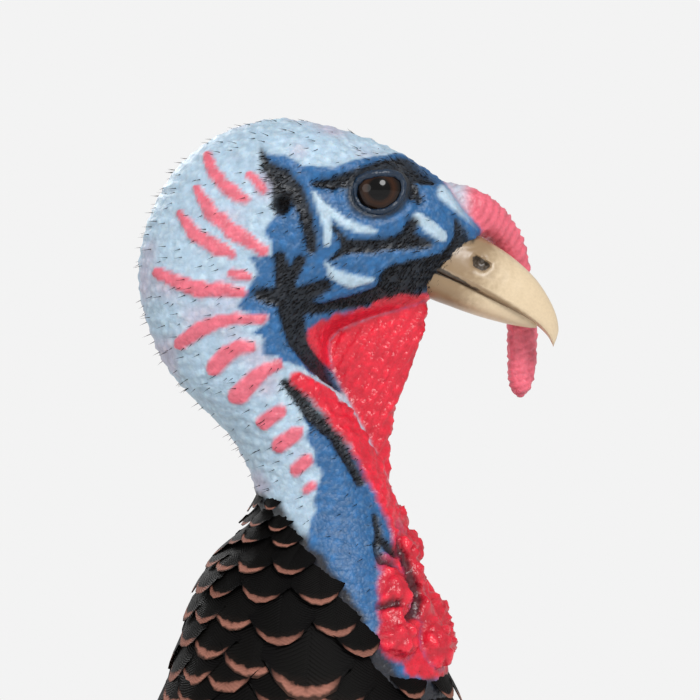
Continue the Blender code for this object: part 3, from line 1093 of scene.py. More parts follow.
# The parts of the skin's bake map: left, bottom, right, top. The head has most of it.
HEAD_BOX = (0.005, 0.005, 0.80, 0.80)
GROWN_BOXES = {"snood": (0.81, 0.005, 0.90, 0.40), "dewlap": (0.91, 0.005, 0.995, 0.40)}
LID_BOXES = {Side.RIGHT: (0.81, 0.41, 0.90, 0.44), Side.LEFT: (0.91, 0.41, 0.995, 0.44)}
LEG_BOXES = {Side.RIGHT: (0.81, 0.45, 0.995, 0.72), Side.LEFT: (0.81, 0.725, 0.995, 0.995)}
HIDDEN_BOX = (0.005, 0.81, 0.80, 0.995)

# Where the feathers begin on the side of the neck, from its back to its front, in mm from the eye.
FEATHER_LINE = (
    (-44.0, -72.0), (-34.0, -79.0), (-23.5, -85.0), (-15.0, -96.0), (-6.0, -108.5), (0.0, -120.0),
    (5.0, -126.0), (12.0, -129.0), (40.0, -131.0),
)


def below_feather_line(x: Array, z: Array) -> Array:
    """How far under the line where the feathers begin each place lies, in mm, on the side of the neck."""
    return np.interp(x, *np.transpose(FEATHER_LINE)) - z


def coat_depth(points: Array) -> Array:
    """How deep under the feathers' surface the skin lies, in mm.

    Args:
        points: places on the skin.

    Returns:
        A depth for each.
    """
    x, _, z = eye_measures(points)
    below = below_feather_line(x, z)
    return 3.5 * eased(-1.0, 14.0, below) + 6.5 * eased(14.0, 90.0, below)


# ---- The head and neck ---------------------------------------------------------------------------

# The marks on the side of the head. Each band is a row of (forward, up, half width), and each outline
# a row of (forward, up), in mm from the eye as a person beside the bird sees them.
FOLDS = (
    ((-46.6, 10.4, 1.4), (-44.6, 5.7, 1.7), (-42.6, 2.7, 1.9), (-39.5, 0.6, 2.0), (-36.5, -1.1, 1.5)),
    ((-34.9, 5.4, 1.2), (-31.5, 1.6, 1.4)),
    ((-49.4, 1.1, 1.4), (-45.3, -5.4, 2.2), (-38.8, -10.8, 2.0), (-31.3, -15.1, 1.5)),
    ((-54.0, -5.7, 1.4), (-49.6, -11.2, 1.9), (-44.5, -14.3, 1.9), (-40.1, -16.1, 1.4)),
    ((-39.9, -21.4, 1.2), (-35.6, -22.4, 1.2)),
    ((-60.3, -21.5, 1.5), (-54.6, -23.7, 1.8), (-49.6, -26.0, 2.4), (-43.1, -25.8, 1.9), (-37.4, -26.7, 1.4)),
    ((-53.9, -40.5, 1.8), (-48.8, -36.9, 2.2), (-43.8, -34.8, 1.8), (-38.1, -33.7, 1.5), (-31.7, -33.8, 1.3)),
    ((-44.7, -47.1, 2.3), (-41.6, -43.7, 2.4), (-38.1, -41.6, 1.8), (-34.5, -41.5, 1.4)),
    ((-38.2, -54.9, 2.8), (-33.8, -50.2, 2.3), (-31.0, -48.0, 1.8), (-27.4, -46.6, 1.4)),
    ((-31.2, -62.2, 2.1), (-27.2, -59.5, 1.9)),
    ((-26.9, -68.4, 2.2), (-22.8, -65.5, 2.1)),
    ((-22.4, -75.2, 1.8), (-19.4, -72.6, 1.8)),
    ((-19.5, -80.8, 1.2), (-18.0, -79.6, 1.3)),
)
# The creases: sunk, and painted near black as the shade in them.
CREASES = (
    (
        (-32.0, 12.5, 0.3), (-30.5, 8.0, 1.6), (-26.5, 4.5, 3.1), (-22.5, 1.0, 2.3), (-19.8, -5.5, 1.8),
        (-18.0, -14.5, 1.5),
    ),
    ((-25.8, 3.0, 3.0), (-26.4, -3.2, 2.5)),
    (
        (-17.2, 3.2, 0.7), (-12.5, 3.0, 1.7), (-8.0, 4.2, 2.0), (-1.0, 6.4, 1.8), (6.0, 7.4, 2.4),
        (10.5, 6.4, 3.2), (14.8, 5.4, 2.4),
    ),
    ((8.0, 3.0, 2.2), (9.5, 0.6, 2.0), (11.2, -1.0, 1.2)),
    ((-8.5, -14.2, 1.9), (-3.0, -14.1, 2.0), (3.0, -13.5, 1.7), (8.5, -12.4, 2.6), (13.8, -13.6, 1.3)),
    ((-8.6, -13.4, 1.3), (-12.2, -8.8, 0.5)),
    ((-8.6, -14.6, 1.3), (-12.2, -17.6, 0.5)),
    ((8.2, -11.5, 1.9), (9.6, -7.8, 1.5)),
    ((21.7, -6.8, 0.5), (23.0, -10.5, 1.8), (23.4, -14.4, 3.3), (19.0, -20.0, 3.6)),
    ((-26.8, -17.2, 1.7), (-25.6, -23.0, 2.7), (-24.4, -30.0, 3.2)),
    ((-21.2, -17.9, 1.5), (-23.8, -22.5, 2.0)),
    ((-32.6, -27.2, 1.6), (-26.0, -28.4, 3.0)),
    ((-14.4, -24.9, 1.7), (-22.0, -28.6, 3.0)),
    ((-23.9, -31.0, 3.6), (-21.9, -39.5, 2.9), (-16.6, -46.5, 2.4), (-11.2, -51.6, 1.8), (-8.0, -55.0, 0.3)),
    (
        (-22.0, -30.6, 2.4), (-15.5, -31.4, 1.4), (-5.0, -29.2, 1.8), (0.8, -27.6, 2.4), (5.8, -24.6, 5.3),
        (11.5, -23.4, 5.6), (17.5, -21.0, 4.8),
    ),
    (
        (-25.4, -51.4, 1.0), (-20.6, -56.8, 1.7), (-17.6, -60.8, 2.2), (-12.0, -66.0, 1.6),
        (-8.8, -71.2, 1.5), (-4.6, -78.6, 1.3),
    ),
    ((-0.6, -88.0, 0.8), (0.5, -94.0, 1.2), (5.0, -98.5, 1.0)),
)
# The pale ridges of the face: raised, and painted pale as highlight.
HIGHLIGHT_RIDGES = (
    ((-17.8, 0.9, 0.4), (-15.0, -4.0, 1.6), (-13.8, -8.6, 1.4), (-13.9, -13.2, 1.0)),
    ((-14.8, -3.2, 1.0), (-9.6, -7.4, 1.3), (-5.0, -9.4, 1.2), (-1.0, -10.0, 0.7)),
    ((10.8, -6.0, 1.2), (14.2, -8.8, 1.8), (17.4, -11.3, 1.5)),
    ((-14.4, -18.6, 0.3), (-12.2, -21.8, 1.5), (-7.6, -23.6, 1.9), (-1.4, -23.2, 0.5)),
    ((18.4, 0.6, 2.4), (22.8, -2.6, 2.7), (27.0, -8.0, 1.3)),
    ((-14.8, -52.4, 1.0), (-8.6, -57.2, 1.6), (-5.2, -62.4, 1.4), (-3.2, -66.2, 1.2), (-1.2, -70.0, 0.6)),
)
# The clefts between the caruncles: sunk, and painted near black as the shade in them.
CLEFTS = (
    (
        (5.2, -95.0, 0.7), (7.4, -99.5, 1.2), (9.6, -105.0, 1.3), (11.3, -110.0, 1.4), (10.3, -114.6, 1.4),
        (8.8, -116.0, 0.9),
    ),
    ((0.2, -112.8, 0.8), (3.5, -111.4, 1.2), (6.6, -111.6, 1.0)),
    ((-0.4, -95.5, 0.9), (0.8, -99.6, 1.2), (4.4, -101.0, 0.9)),
)
STRAP = (
    (
        (-22.5, -50.3, 1.9), (-17.4, -54.1, 2.4), (-12.2, -59.3, 2.8), (-6.8, -66.1, 2.5),
        (-2.4, -73.4, 2.7), (1.8, -80.8, 3.2), (5.6, -87.2, 4.2), (8.0, -94.0, 4.4),
    ),
)
BROW = (
    ((-18.0, 6.4, 1.2), (-10.0, 6.6, 1.8), (-1.0, 8.6, 2.2), (7.0, 9.8, 2.0), (12.0, 8.6, 1.2)),
)
WATTLE = (
    (13.0, -27.6), (3.0, -28.6), (-6.0, -31.8), (-15.8, -34.6), (-19.6, -39.0), (-16.0, -44.4),
    (-11.0, -49.5), (-7.6, -55.2), (-3.2, -61.0), (0.0, -66.0), (30.0, -66.0), (30.0, -27.6),
)
FACE = (
    (40.0, 2.0), (20.0, 6.0), (13.0, 9.5), (5.0, 10.8), (-6.5, 8.9), (-13.0, 6.6), (-18.0, 7.5),
    (-24.5, 10.0), (-31.6, 12.4), (-28.0, 5.0), (-26.4, 0.0), (-27.6, -5.0), (-31.0, -9.6), (-29.2, -12.5),
    (-29.0, -16.7), (-35.8, -16.9), (-33.6, -19.0), (-33.4, -22.2), (-38.8, -31.0), (-30.2, -33.0),
    (-30.4, -35.0), (-34.8, -37.8), (-31.2, -39.5), (-31.4, -43.6), (-23.8, -45.8), (-15.2, -50.8),
    (0.0, -60.0), (40.0, -60.0),
)
NECK_BLUE = (
    (-20.4, -60.6), (-19.4, -63.0), (-19.8, -66.5), (-17.0, -70.0), (-17.2, -74.0), (-15.2, -77.0),
    (-16.2, -80.5), (-17.8, -84.0), (-17.2, -86.5), (-19.4, -92.0), (-40.0, -200.0), (60.0, -200.0),
    (60.0, -95.0), (5.0, -90.0), (-3.0, -76.0), (-12.0, -64.0),
)
BIB = (
    (6.0, -92.0), (30.0, -92.0), (30.0, -134.0), (9.0, -132.0), (2.0, -123.0), (0.5, -110.0), (3.0, -99.0),
)

WARTS_MM, SMALL_WARTS_MM, LOBES_MM = 2.3, 1.3, 4.2  # how far apart they are

# How far some of the marks rise, in mm; under 0 they sink.
RISES = {"pale": 0.65, "brow": 1.3, "crease": -0.55, "soft_crease": -0.55, "ear": -2.6, "cleft": -1.5}


class Marks:
    """How much of each mark, fold and growth covers each corner of the head's skin, from 0 to 1.

    Attributes:
        true_x: how far forward each corner is, in mm from the eye.
        y: how far to the left.
        true_z: how far up.
        x: how far forward it shows to a person beside the bird.
        z: how far up it shows.
        snood: the snood.
        dewlap: the hanging wattle.
        caruncles: the lobes on the lower neck.
        body: the skin between those.
        folds: the pink folds of the nape.
        crease: the creases, painted near black as the shade in them.
        soft_crease: the same, wider and softer.
        pale: the ridges of the face, painted pale as highlight.
        cleft: the clefts between the lobes, painted dark as the shade in them.
        brow: the ridge over the eye.
        ear: the ear's opening, painted dark as the shade in it.
        strap: the red strap down the neck.
        wattle: the red skin of the chin and throat.
        bib: the red skin round the lobes.
        blue: the blue skin.
        away: how far it shows from where the nape's folds meet, in mm.
        turn: in which direction from there.
        nape: the nape's wrinkled skin.
        warts: the pattern of the warts.
        small_warts: the pattern of the smaller ones.
        lobed: the pattern of the lobes.
        bend: a slow unevenness, from -1 to 1.
        ripple: the rings round the snood, from -1 to 1.
        share: 1 on the edge of the eye's opening, less inside it and more outside.
        from_pupil: how far it is from the pupil's middle, in mm.
        flank: the skin round the eyes.
    """

    def __init__(self, head: "HeadSkin", place: Array, covers: dict[str, Array]) -> None:
        """Works out the marks.

        Args:
            head: the sizes of the head.
            place: the corners' places.
            covers: how much each outgrowth makes up the skin there.
        """
        self.snood, self.dewlap, self.caruncles = (covers[name] for name in ("snood", "dewlap", "caruncles"))
        self.true_x, self.y, self.true_z = eye_measures(place)
        self.x, self.z = x, z = head.seen(self.true_x, self.y, self.true_z)
        beside = np.abs(self.y)
        side = eased(2.0, 9.0, beside)
        self.body = 1 - np.maximum(np.maximum(self.snood, self.dewlap), self.caruncles)
        wobble = rolling(place, 2.2, 5) * 0.7
        self.folds = banded(FOLDS, x + wobble * 0.6, z + wobble * 0.6) * self.body
        self.crease = banded(CREASES, x, z) * side * self.body
        self.soft_crease = banded(CREASES, x, z, 4.0) * side * self.body
        self.pale = banded(HIGHLIGHT_RIDGES, x, z) * side * self.body
        self.cleft = banded(CLEFTS, x, z) * side
        self.brow = banded(BROW, x, z, 3.0) * side
        self.ear = eased(3.0, 0.8, np.hypot((x + 25.8) / 0.85, z + 2.0)) * side
        off_middle = eased(1.0, 5.0, beside + 4 * eased(-84, -90, z))
        self.strap = banded(STRAP, x + wobble, z) * off_middle * self.body
        self.wattle = np.maximum(enclosed(WATTLE, x + wobble, z - wobble) * self.body, self.dewlap)
        self.bib = enclosed(BIB, x + wobble, z + wobble) * self.body
        clear = beside + 8 * eased(0, 12, x) + 8 * eased(-84, -92, z) * eased(-20, -8, x)
        blue = np.maximum(enclosed(FACE, x + wobble, z + wobble), enclosed(NECK_BLUE, x + wobble, z))
        self.blue = blue * eased(1.0, 7.0, clear)
        fan_x, fan_z = head.fan_heart
        self.away = np.hypot(x - fan_x, z - fan_z)
        self.turn = np.arctan2(z - fan_z, fan_x - x)
        self.nape = eased(14.0, 24.0, self.away) * (1 - self.blue * 0.6)
        self.warts = pebbles(place, WARTS_MM, 3)
        self.small_warts = pebbles(place, SMALL_WARTS_MM, 8)
        self.lobed = pebbles(place, LOBES_MM, 6)
        self.bend = rolling(place, 6, 2)
        self.ripple = np.sin(TAU * np.hypot(x - 24.0, z + 2.0) / 2.1 + 1.2 * self.bend)
        self.share = head.opening_share(self.true_x, self.true_z)
        self.from_pupil = np.hypot(self.true_x, self.true_z)
        self.flank = eased(8.0, 12.0, beside) * (self.from_pupil < 16)


@dataclass
class HeadSkin:
    """The skin of the head and upper neck, with the snood, the wattle and the caruncles grown on it.

    Attributes:
        voxel: the size of its faces, in mm.
        fan_heart: where the nape's folds meet, forward and up in mm from the eye.
        eye_opening: half the width of the opening, and its height over and under the middle, in mm.
        slant: how much the opening rises towards the bill.
        wart_rise: how high the warts stand, in mm.
        small_wart_rise: how high the smaller ones stand, in mm.
        wrinkle_rise: how high the fine wrinkles stand, in mm.
        fold_rise: how high the pink folds stand, in mm.
        lid_gap: how far over the eyeball the lids lie, and how far inside it the hidden skin, in mm.
        snood_path: the snood's middle line, from its root to its tip, in mm from the eye.
        snood_radii: its radii, in mm.
        dewlap_rows: the stations of the wattle between the chin and the throat, in mm from the eye.
        lobe_radius: the radius of the topmost caruncles, in mm.
        lobe_gap: how far apart they stand in a row, and how far apart the rows are, in mm.
        lobe_shape: the stations of one, as shares of its radius: how far along it, and how thick.
    """

    voxel: float = 0.9
    fan_heart: tuple[float, float] = (-14.0, -31.0)
    eye_opening: Point = (6.5, 4.2, 5.9)
    slant: float = 0.10
    wart_rise: float = 0.30
    small_wart_rise: float = 0.10
    wrinkle_rise: float = 0.16
    fold_rise: float = 1.05
    lid_gap: Span = (0.7, -1.2)
    snood_path: tuple[Point, ...] = (
        (17.0, 0.0, -0.5), (22.0, 0.4, -2.2), (29.0, 2.5, -5.2), (36.5, 9.0, -13.0), (40.0, 13.0, -27.0),
        (40.5, 12.8, -44.0), (40.1, 12.4, -52.5), (40.0, 12.3, -56.2),
    )
    snood_radii: Row = (4.4, 5.2, 5.2, 4.6, 4.3, 4.2, 3.3, 0.9)
    dewlap_rows: tuple[Row, ...] = (
        (4.0, -22.0, 14.5, -31.5, 2.2),
        (-8.0, -28.0, 11.5, -42.0, 3.6),
        (-18.0, -38.0, 7.0, -54.0, 4.6),
        (-16.0, -52.0, 3.5, -66.0, 4.8),
        (-8.0, -66.0, 4.0, -79.0, 3.6),
    )
    lobe_radius: float = 4.7
    lobe_gap: Span = (6.4, 7.4)
    lobe_shape: tuple[Span, ...] = (
        (-1.0, 0.12), (-0.8, 0.6), (-0.3, 0.95), (0.3, 0.95), (0.8, 0.6), (1.0, 0.12)
    )

    def snood(self) -> Tube:
        """The snood: it leaves the forehead, lies over the bill and hangs down its left side."""
        return Tube([from_eye(*p) for p in self.snood_path], self.snood_radii)

    def dewlap(self) -> Loft:
        """The wattle that hangs from the chin to the throat."""
        return Loft(self.dewlap_rows, EYE_PLACE, square=2.0)

    def caruncles(self) -> list[Tube]:
        """The caruncles: rounded lobes in a bib over the front of the lower neck.

        Returns:
            A surface for each lobe.
        """
        made = []
        for row, column in np.ndindex(5, 5):
            column -= 2
            if row == 0 and abs(column) == 2:
                continue
            sway = math.sin(2.4 * row + 1.7 * column)
            across = column * (self.lobe_gap[0] + 1.1 * row)
            x = 4.0 + 2.9 * row - 0.024 * across**2 + 0.8 * sway
            z = -91.0 - self.lobe_gap[1] * row + 2.2 * math.cos(1.9 * column + row)
            heart = from_eye(x, across, z)
            radius = self.lobe_radius + 0.55 * row + 0.6 * sway - 0.35 * abs(column)
            lean = np.array((0.12, 0.05 * column, -1.0)) * radius * MM
            path = [heart + lean * far for far, _ in self.lobe_shape]
            made.append(Tube(path, [radius * share for _, share in self.lobe_shape]))
        return made

    def rough_form(self, grown: dict[str, list[Surface]]) -> Form:
        """The overlapping closed forms that the skin grows from: the head with its outgrowths.

        Args:
            grown: each outgrowth's surfaces, by name.

        Returns:
            All of them in one form.
        """
        along, around = BODY.grid(-0.1, 9.8, 180, 110)
        base = BODY.lifted(along, around, 0.0)
        sink = 0.5 * eased(0.25, -0.05, along) - coat_depth(base)
        parts = [Form.from_rings(base + BODY.normal(along, around) * (sink * MM)[..., None])]
        for name, size in {"snood": (70, 24), "dewlap": (60, 40), "caruncles": (12, 14)}.items():
            parts += [surface.form(*size) for surface in grown[name]]
        return Form.joined(parts)

    def cover(self, points: Array, grown: dict[str, list[Surface]]) -> dict[str, Array]:
        """How much each outgrowth makes up the skin at each corner, from 0 to 1.

        Args:
            points: the skin's corners.
            grown: each outgrowth's surfaces, by name.

        Returns:
            A share for each corner, by the outgrowth's name.
        """
        body = BODY.polygons(span=(0.0, 10.5))
        height = np.array([body.find_nearest(p)[3] for p in points]) / MM
        made = {}
        for name, surfaces in grown.items():
            trees = [surface.polygons() for surface in surfaces]
            corners = np.concatenate([s.point(*s.grid(0, s.end, 20, 16)).reshape(-1, 3) for s in surfaces])
            low, high = corners.min(axis=0) - 4 * MM, corners.max(axis=0) + 4 * MM
            close = np.all((points > low) & (points < high), axis=1)
            away = np.full(len(points), 99.0)
            away[close] = [min(tree.find_nearest(p)[3] for tree in trees) / MM for p in points[close]]
            made[name] = eased(-0.8, 1.2, height - away) * eased(3.0, 1.6, away)
        return made

    @staticmethod
    def seen(x: Array, y: Array, z: Array) -> tuple[Array, Array]:
        """Where each place shows on the middle plane to an eye half a metre to the side.

        The marks are laid out as a person beside the bird sees them, with the cheeks a little
        nearer, and so a little larger, than the outline.

        Args:
            x: how far forward each place is, in mm from the eye.
            y: how far to the left.
            z: how far up.

        Returns:
            How far forward and how far up it shows.
        """
        reach, (aim_x, aim_z) = Studio.reach / MM, Studio.aim
        nearer = reach / (reach - np.abs(y))
        return aim_x + (x - aim_x) * nearer, aim_z + (z - aim_z) * nearer

    def opening_share(self, x: Array, z: Array) -> Array:
        """1 on the edge of the eye's opening, less inside it and more outside.

        Args:
            x: how far forward each place is, in mm from the eye.
            z: how far up.

        Returns:
            A share for each place.
        """
        half, over, under = self.eye_opening
        level = z - self.slant * x
        height, power = np.where(level > 0, over, under), np.where(level > 0, 2.6, 2.0)
        return ((np.abs(x) / half) ** power + (np.abs(level) / height) ** power) ** (1 / power)

    def relief(self, place: Array, m: Marks) -> Array:
        """How far each corner rises with its warts, folds and lids, in mm.

        Args:
            place: the corners' places.
            m: their masks.

        Returns:
            A height for each corner.
        """
        radial = np.sin(m.turn * m.away / 0.62 + 1.6 * m.bend) * eased(16.0, 26.0, m.away)
        ringed = np.sin(TAU * (m.z + 0.25 * m.x) / 3.1 + 2.0 * m.bend)
        wrinkles = mixed(radial, ringed, eased(-50.0, -60.0, m.z))
        wart, small_wart = m.warts - 0.5, m.small_warts - 0.5
        lift = self.wart_rise * wart * mixed(0.55, 1.0, m.nape) + self.small_wart_rise * small_wart
        lift += self.wrinkle_rise * wrinkles * mixed(0.4, 1.0, m.nape) + 0.25 * rolling(place, 7, 1)
        lift += self.fold_rise * m.folds * (0.85 + 0.15 * m.warts)
        lift += sum(rise * vars(m)[name] for name, rise in RISES.items())
        lift += m.strap * (1.1 + 0.6 * pebbles(place, 3.6, 4))
        lift += m.caruncles * (1.1 * (m.lobed - 0.5) + 0.25 * wart)
        lift += m.dewlap * (0.35 * np.sin(TAU * (m.x - 0.6 * m.z) / 3.4 + 2 * m.bend) + 0.2 * wart)
        lift += m.snood * (0.20 * m.ripple + 0.12 * small_wart)
        lift *= mixed(1.0, mixed(0.35, 1.0, eased(1.3, 2.0, m.share)), m.flank)
        rolls = ((-0.55, 1.42, 0.08), (0.40, 1.60, 0.10), (-0.30, 1.82, 0.09))
        return lift + m.flank * sum(high * hump(m.share, heart, width) for high, heart, width in rolls)

    def opened(self, moved: Array, m: Marks) -> Array:
        """The corners drawn over the eyeball as lids, and sunk behind it in the lids' opening.

        Args:
            moved: the corners' places, with their relief.
            m: their masks.

        Returns:
            Their new places.
        """
        now = np.abs(moved[:, 1]) / MM
        balls = (np.maximum((EYE_RADIUS + gap) ** 2 - m.from_pupil**2, 0.0) for gap in self.lid_gap)
        cap, bowl = (np.sqrt(ball) + EYE_OUT for ball in balls)
        lid = mixed(now, np.maximum(now, cap), m.flank * eased(10.5, 9.0, m.from_pupil))
        hollow = mixed(lid, np.minimum(bowl, lid), m.flank * eased(1.06, 0.93, m.share))
        moved[:, 1] = np.sign(moved[:, 1]) * hollow * MM
        return moved

    def colours(self, place: Array, m: Marks) -> Array:
        """The skin's linear colour at each corner, with painted shade in its grooves, creases, clefts and ear
        and round the eyes, and painted highlight on its pale ridges and wart tops.

        Args:
            place: the corners' places.
            m: their masks.

        Returns:
            A colour for each corner.
        """
        # grooves: 1 between the warts, where the coats below paint shade.
        grooves = 1 - m.warts
        red = np.maximum(m.wattle, m.strap)
        below = below_feather_line(m.true_x, m.true_z) + rolling(place, 3, 9) * 2.0
        return layered(
            Hue.PALE,
            (Hue.PINK, eased(0.1, 0.9, rolling(place, 9, 12)) * m.nape * 0.22),
            (Hue.BLUE, m.blue),
            # Painted shade in the grooves between the warts.
            (Hue.BLUE, grooves * (1 - m.blue) * 0.22),
            (Hue.NIGHT, grooves * m.blue * 0.30),
            # Painted highlight on the small warts' tops.
            (Hue.PALE, eased(0.55, 1.0, m.small_warts) * m.blue * 0.10),
            # Painted highlight: the raised ridges painted pale.
            (Hue.PALE, m.pale * 0.92),
            (Hue.PINK, m.folds * 0.95),
            # Painted shade in the grooves of the pink folds.
            (Hue.BLOOD, m.folds * grooves * 0.18),
            (Hue.RED, m.strap),
            (Hue.RED, m.wattle),
            (Hue.RED, np.maximum(m.caruncles, m.bib)),
            # Painted shade between the caruncles, and in the grooves of the red skin.
            (Hue.BLOOD, (1 - m.lobed) * m.caruncles * 0.5),
            (Hue.BLOOD, grooves * np.maximum(red, m.bib) * 0.35),
            (Hue.PINK, m.snood),
            (Hue.PALE, m.snood * eased(27.0, 22.0, m.x) * eased(-12, -6, m.z) * 0.85),
            # Painted shade in the troughs of the snood's rings.
            (Hue.BLOOD, m.snood * eased(0.2, 1.0, -m.ripple) * 0.25),
            # Painted shade, near black, in the creases, the clefts and the ear's opening.
            (Hue.NIGHT, m.crease * eased(0.9, 0.4, np.maximum(m.strap, m.wattle * 0.8)) * 0.96),
            (Hue.NIGHT, m.soft_crease * (1 - red) * 0.30),
            (Hue.NIGHT, m.cleft * 0.85),
            (Hue.NIGHT, m.ear * 0.95),
            # Painted shade round the eye's opening, near black.
            (Hue.NIGHT, m.flank * eased(1.5, 1.2, m.share) * 0.93),
            (Hue.DOWN, eased(-1.0, 3.0, below) * (1 - m.caruncles) * 0.95),
        )

    def dressed(self) -> Form:
        """The finished skin of the head and neck, with its lids, colours and bake map.

        Returns:
            The skin, with the rims of the lids.
        """
        grown = {"snood": [self.snood()], "dewlap": [self.dewlap()], "caruncles": self.caruncles()}
        skin = self.rough_form(grown).blended(self.voxel, 5)
        x, _, z = eye_measures(skin.points)
        skin.relax(18, 0.5 * eased(10.0, 16.0, x) * eased(-3.0, -8.0, z) * eased(-36.0, -31.0, z))
        covers = self.cover(skin.points, grown)
        place, out = skin.points, skin.normals()
        m = Marks(self, place, covers)
        skin.points = self.opened(place + out * (self.relief(place, m) * MM)[:, None], m)
        red = np.maximum(np.maximum(m.wattle, m.strap), m.caruncles)
        bristle = (m.crease * 0.9 + 0.20 * m.soft_crease + 0.012 * m.nape + 0.016) * m.body * (1 - m.wattle)
        bristle = bristle * (1 - m.strap) * eased(1.3, 1.6, mixed(2.0, m.share, m.flank))
        bristle = bristle * eased(0.0, -2.0, below_feather_line(m.true_x, m.true_z))
        skin.skinned(self.colours(place, m), np.clip(red + 0.5 * m.snood + 0.3 * m.folds, 0, 1), bristle)
        skin.face_maps["OFBake"] = self.unwrapped(skin, grown, covers)
        return Form.joined([skin, *(self.lid(side) for side in Side)])

    def unwrapped(self, skin: Form, grown: dict[str, list[Surface]], covers: dict[str, Array]) -> Array:
        """The skin's bake map: the head and neck once round, with the snood and the wattle beside them.

        Args:
            skin: the skin's form.
            grown: each outgrowth's surfaces, by name.
            covers: how much each outgrowth makes up the skin at each corner.

        Returns:
            The map place of each corner of each face in turn.
        """
        along, around = BODY.located(skin.points, NECK_END)
        laid = skin.chart(along / NECK_END, around, HEAD_BOX)
        faces = skin.faces[0]
        for name, box in GROWN_BOXES.items():
            surface = grown[name][0]
            along, around = surface.located(skin.points, surface.end, 60, 36)
            own = skin.chart(along / surface.end, around, box)
            on = (covers[name][faces].mean(axis=1) > 0.5).repeat(faces.shape[1])
            laid[on] = own[on]
        return laid

    def lid(self, side: Side) -> Form:
        """The rims of one eye's lids: a fine roll of skin round the opening, lying on the eyeball, painted
        near black as the shade round the eye.

        Args:
            side: which eye.

        Returns:
            A closed ring, with its values.
        """
        half, over, under = self.eye_opening
        turn = turns(72)
        sine, cosine = np.sin(turn), np.cos(turn)
        power = np.where(sine > 0, 2 / 2.6, 1.0)
        x = np.sign(cosine) * np.abs(cosine) ** power * half
        z = np.sign(sine) * np.abs(sine) ** power * np.where(sine > 0, over, under) + self.slant * x
        y = np.sqrt(np.maximum((EYE_RADIUS + 0.12) ** 2 - x**2 - z**2, 4.0))
        rim = np.stack([x, y, z], axis=-1)
        out = unit(rim)
        aside = np.cross(unit(np.roll(rim, -1, axis=0) - np.roll(rim, 1, axis=0)), out)
        thick = (0.80 + 0.18 * eased(0.0, 0.6, sine) + 0.08 * np.sin(turn * 11))[:, None]
        rolled = [(aside * math.cos(a) * 1.15 + out * math.sin(a)) * thick for a in turns(10)]
        rings = np.stack([rim + shift for shift in rolled], axis=1) + np.array((0.0, EYE_OUT, 0.0))
        rings[..., 1] *= side.sign
        rows, columns = rings.shape[:2]
        quads = wrapped(np.arange(rows * columns).reshape(rows, columns), closed=True)[:, :: side.sign]
        form = Form((rings * MM + from_eye(0, 0, 0)).reshape(-1, 3), [quads])
        along, around = net(np.arange(rows) / rows, np.arange(columns) / columns)
        form.face_maps["OFBake"] = form.chart(around.ravel(), along.ravel(), LID_BOXES[side])
        # The lids are painted near black, as the shade round the eye.
        return form.skinned(layered(Hue.NIGHT, (Hue.BLUE, 0.10)), wet=0.8)


# ---- Feathers ------------------------------------------------------------------------------------


@dataclass(frozen=True)
class Vane:
    """The shape of one kind of feather: a thin closed blade, laid on a surface.

    Attributes:
        across: how many faces wide it is.
        along: how many faces long.
        root: its width at the root, as a share of the widest.
        full: how far along it reaches its full width, as a share of its length.
        rounding: how far the tip's corners draw back, as a share of the length.
        squareness: the exponent of the tip's outline: 2 is round, more is squarer.
        camber: how far its edges sink, in mm.
        thickness: in mm, at the shaft.
        fray: how uneven the tip is, as a share of the length.
    """

    across: int = 5
    along: int = 7
    root: float = 0.6
    full: float = 0.45
    rounding: float = 0.20
    squareness: float = 2.6
    camber: float = 1.0
    thickness: float = 0.45
    fray: float = 0.02

    def outline(self) -> tuple[Array, Array, Array, Array]:
        """The vane's net: share across from -1 to 1, share along, and the true shares with its outline.

        Returns:
            Four arrays, rows x columns.
        """
        t, u = net(np.linspace(0, 1, self.along + 1), np.linspace(-1, 1, self.across + 1))
        width = mixed(self.root, 1.0, eased(0.0, self.full, t)) * (1 - 0.12 * eased(0.75, 1.0, t))
        return u, t, u * width, t - self.rounding * np.abs(u) ** self.squareness * t**3


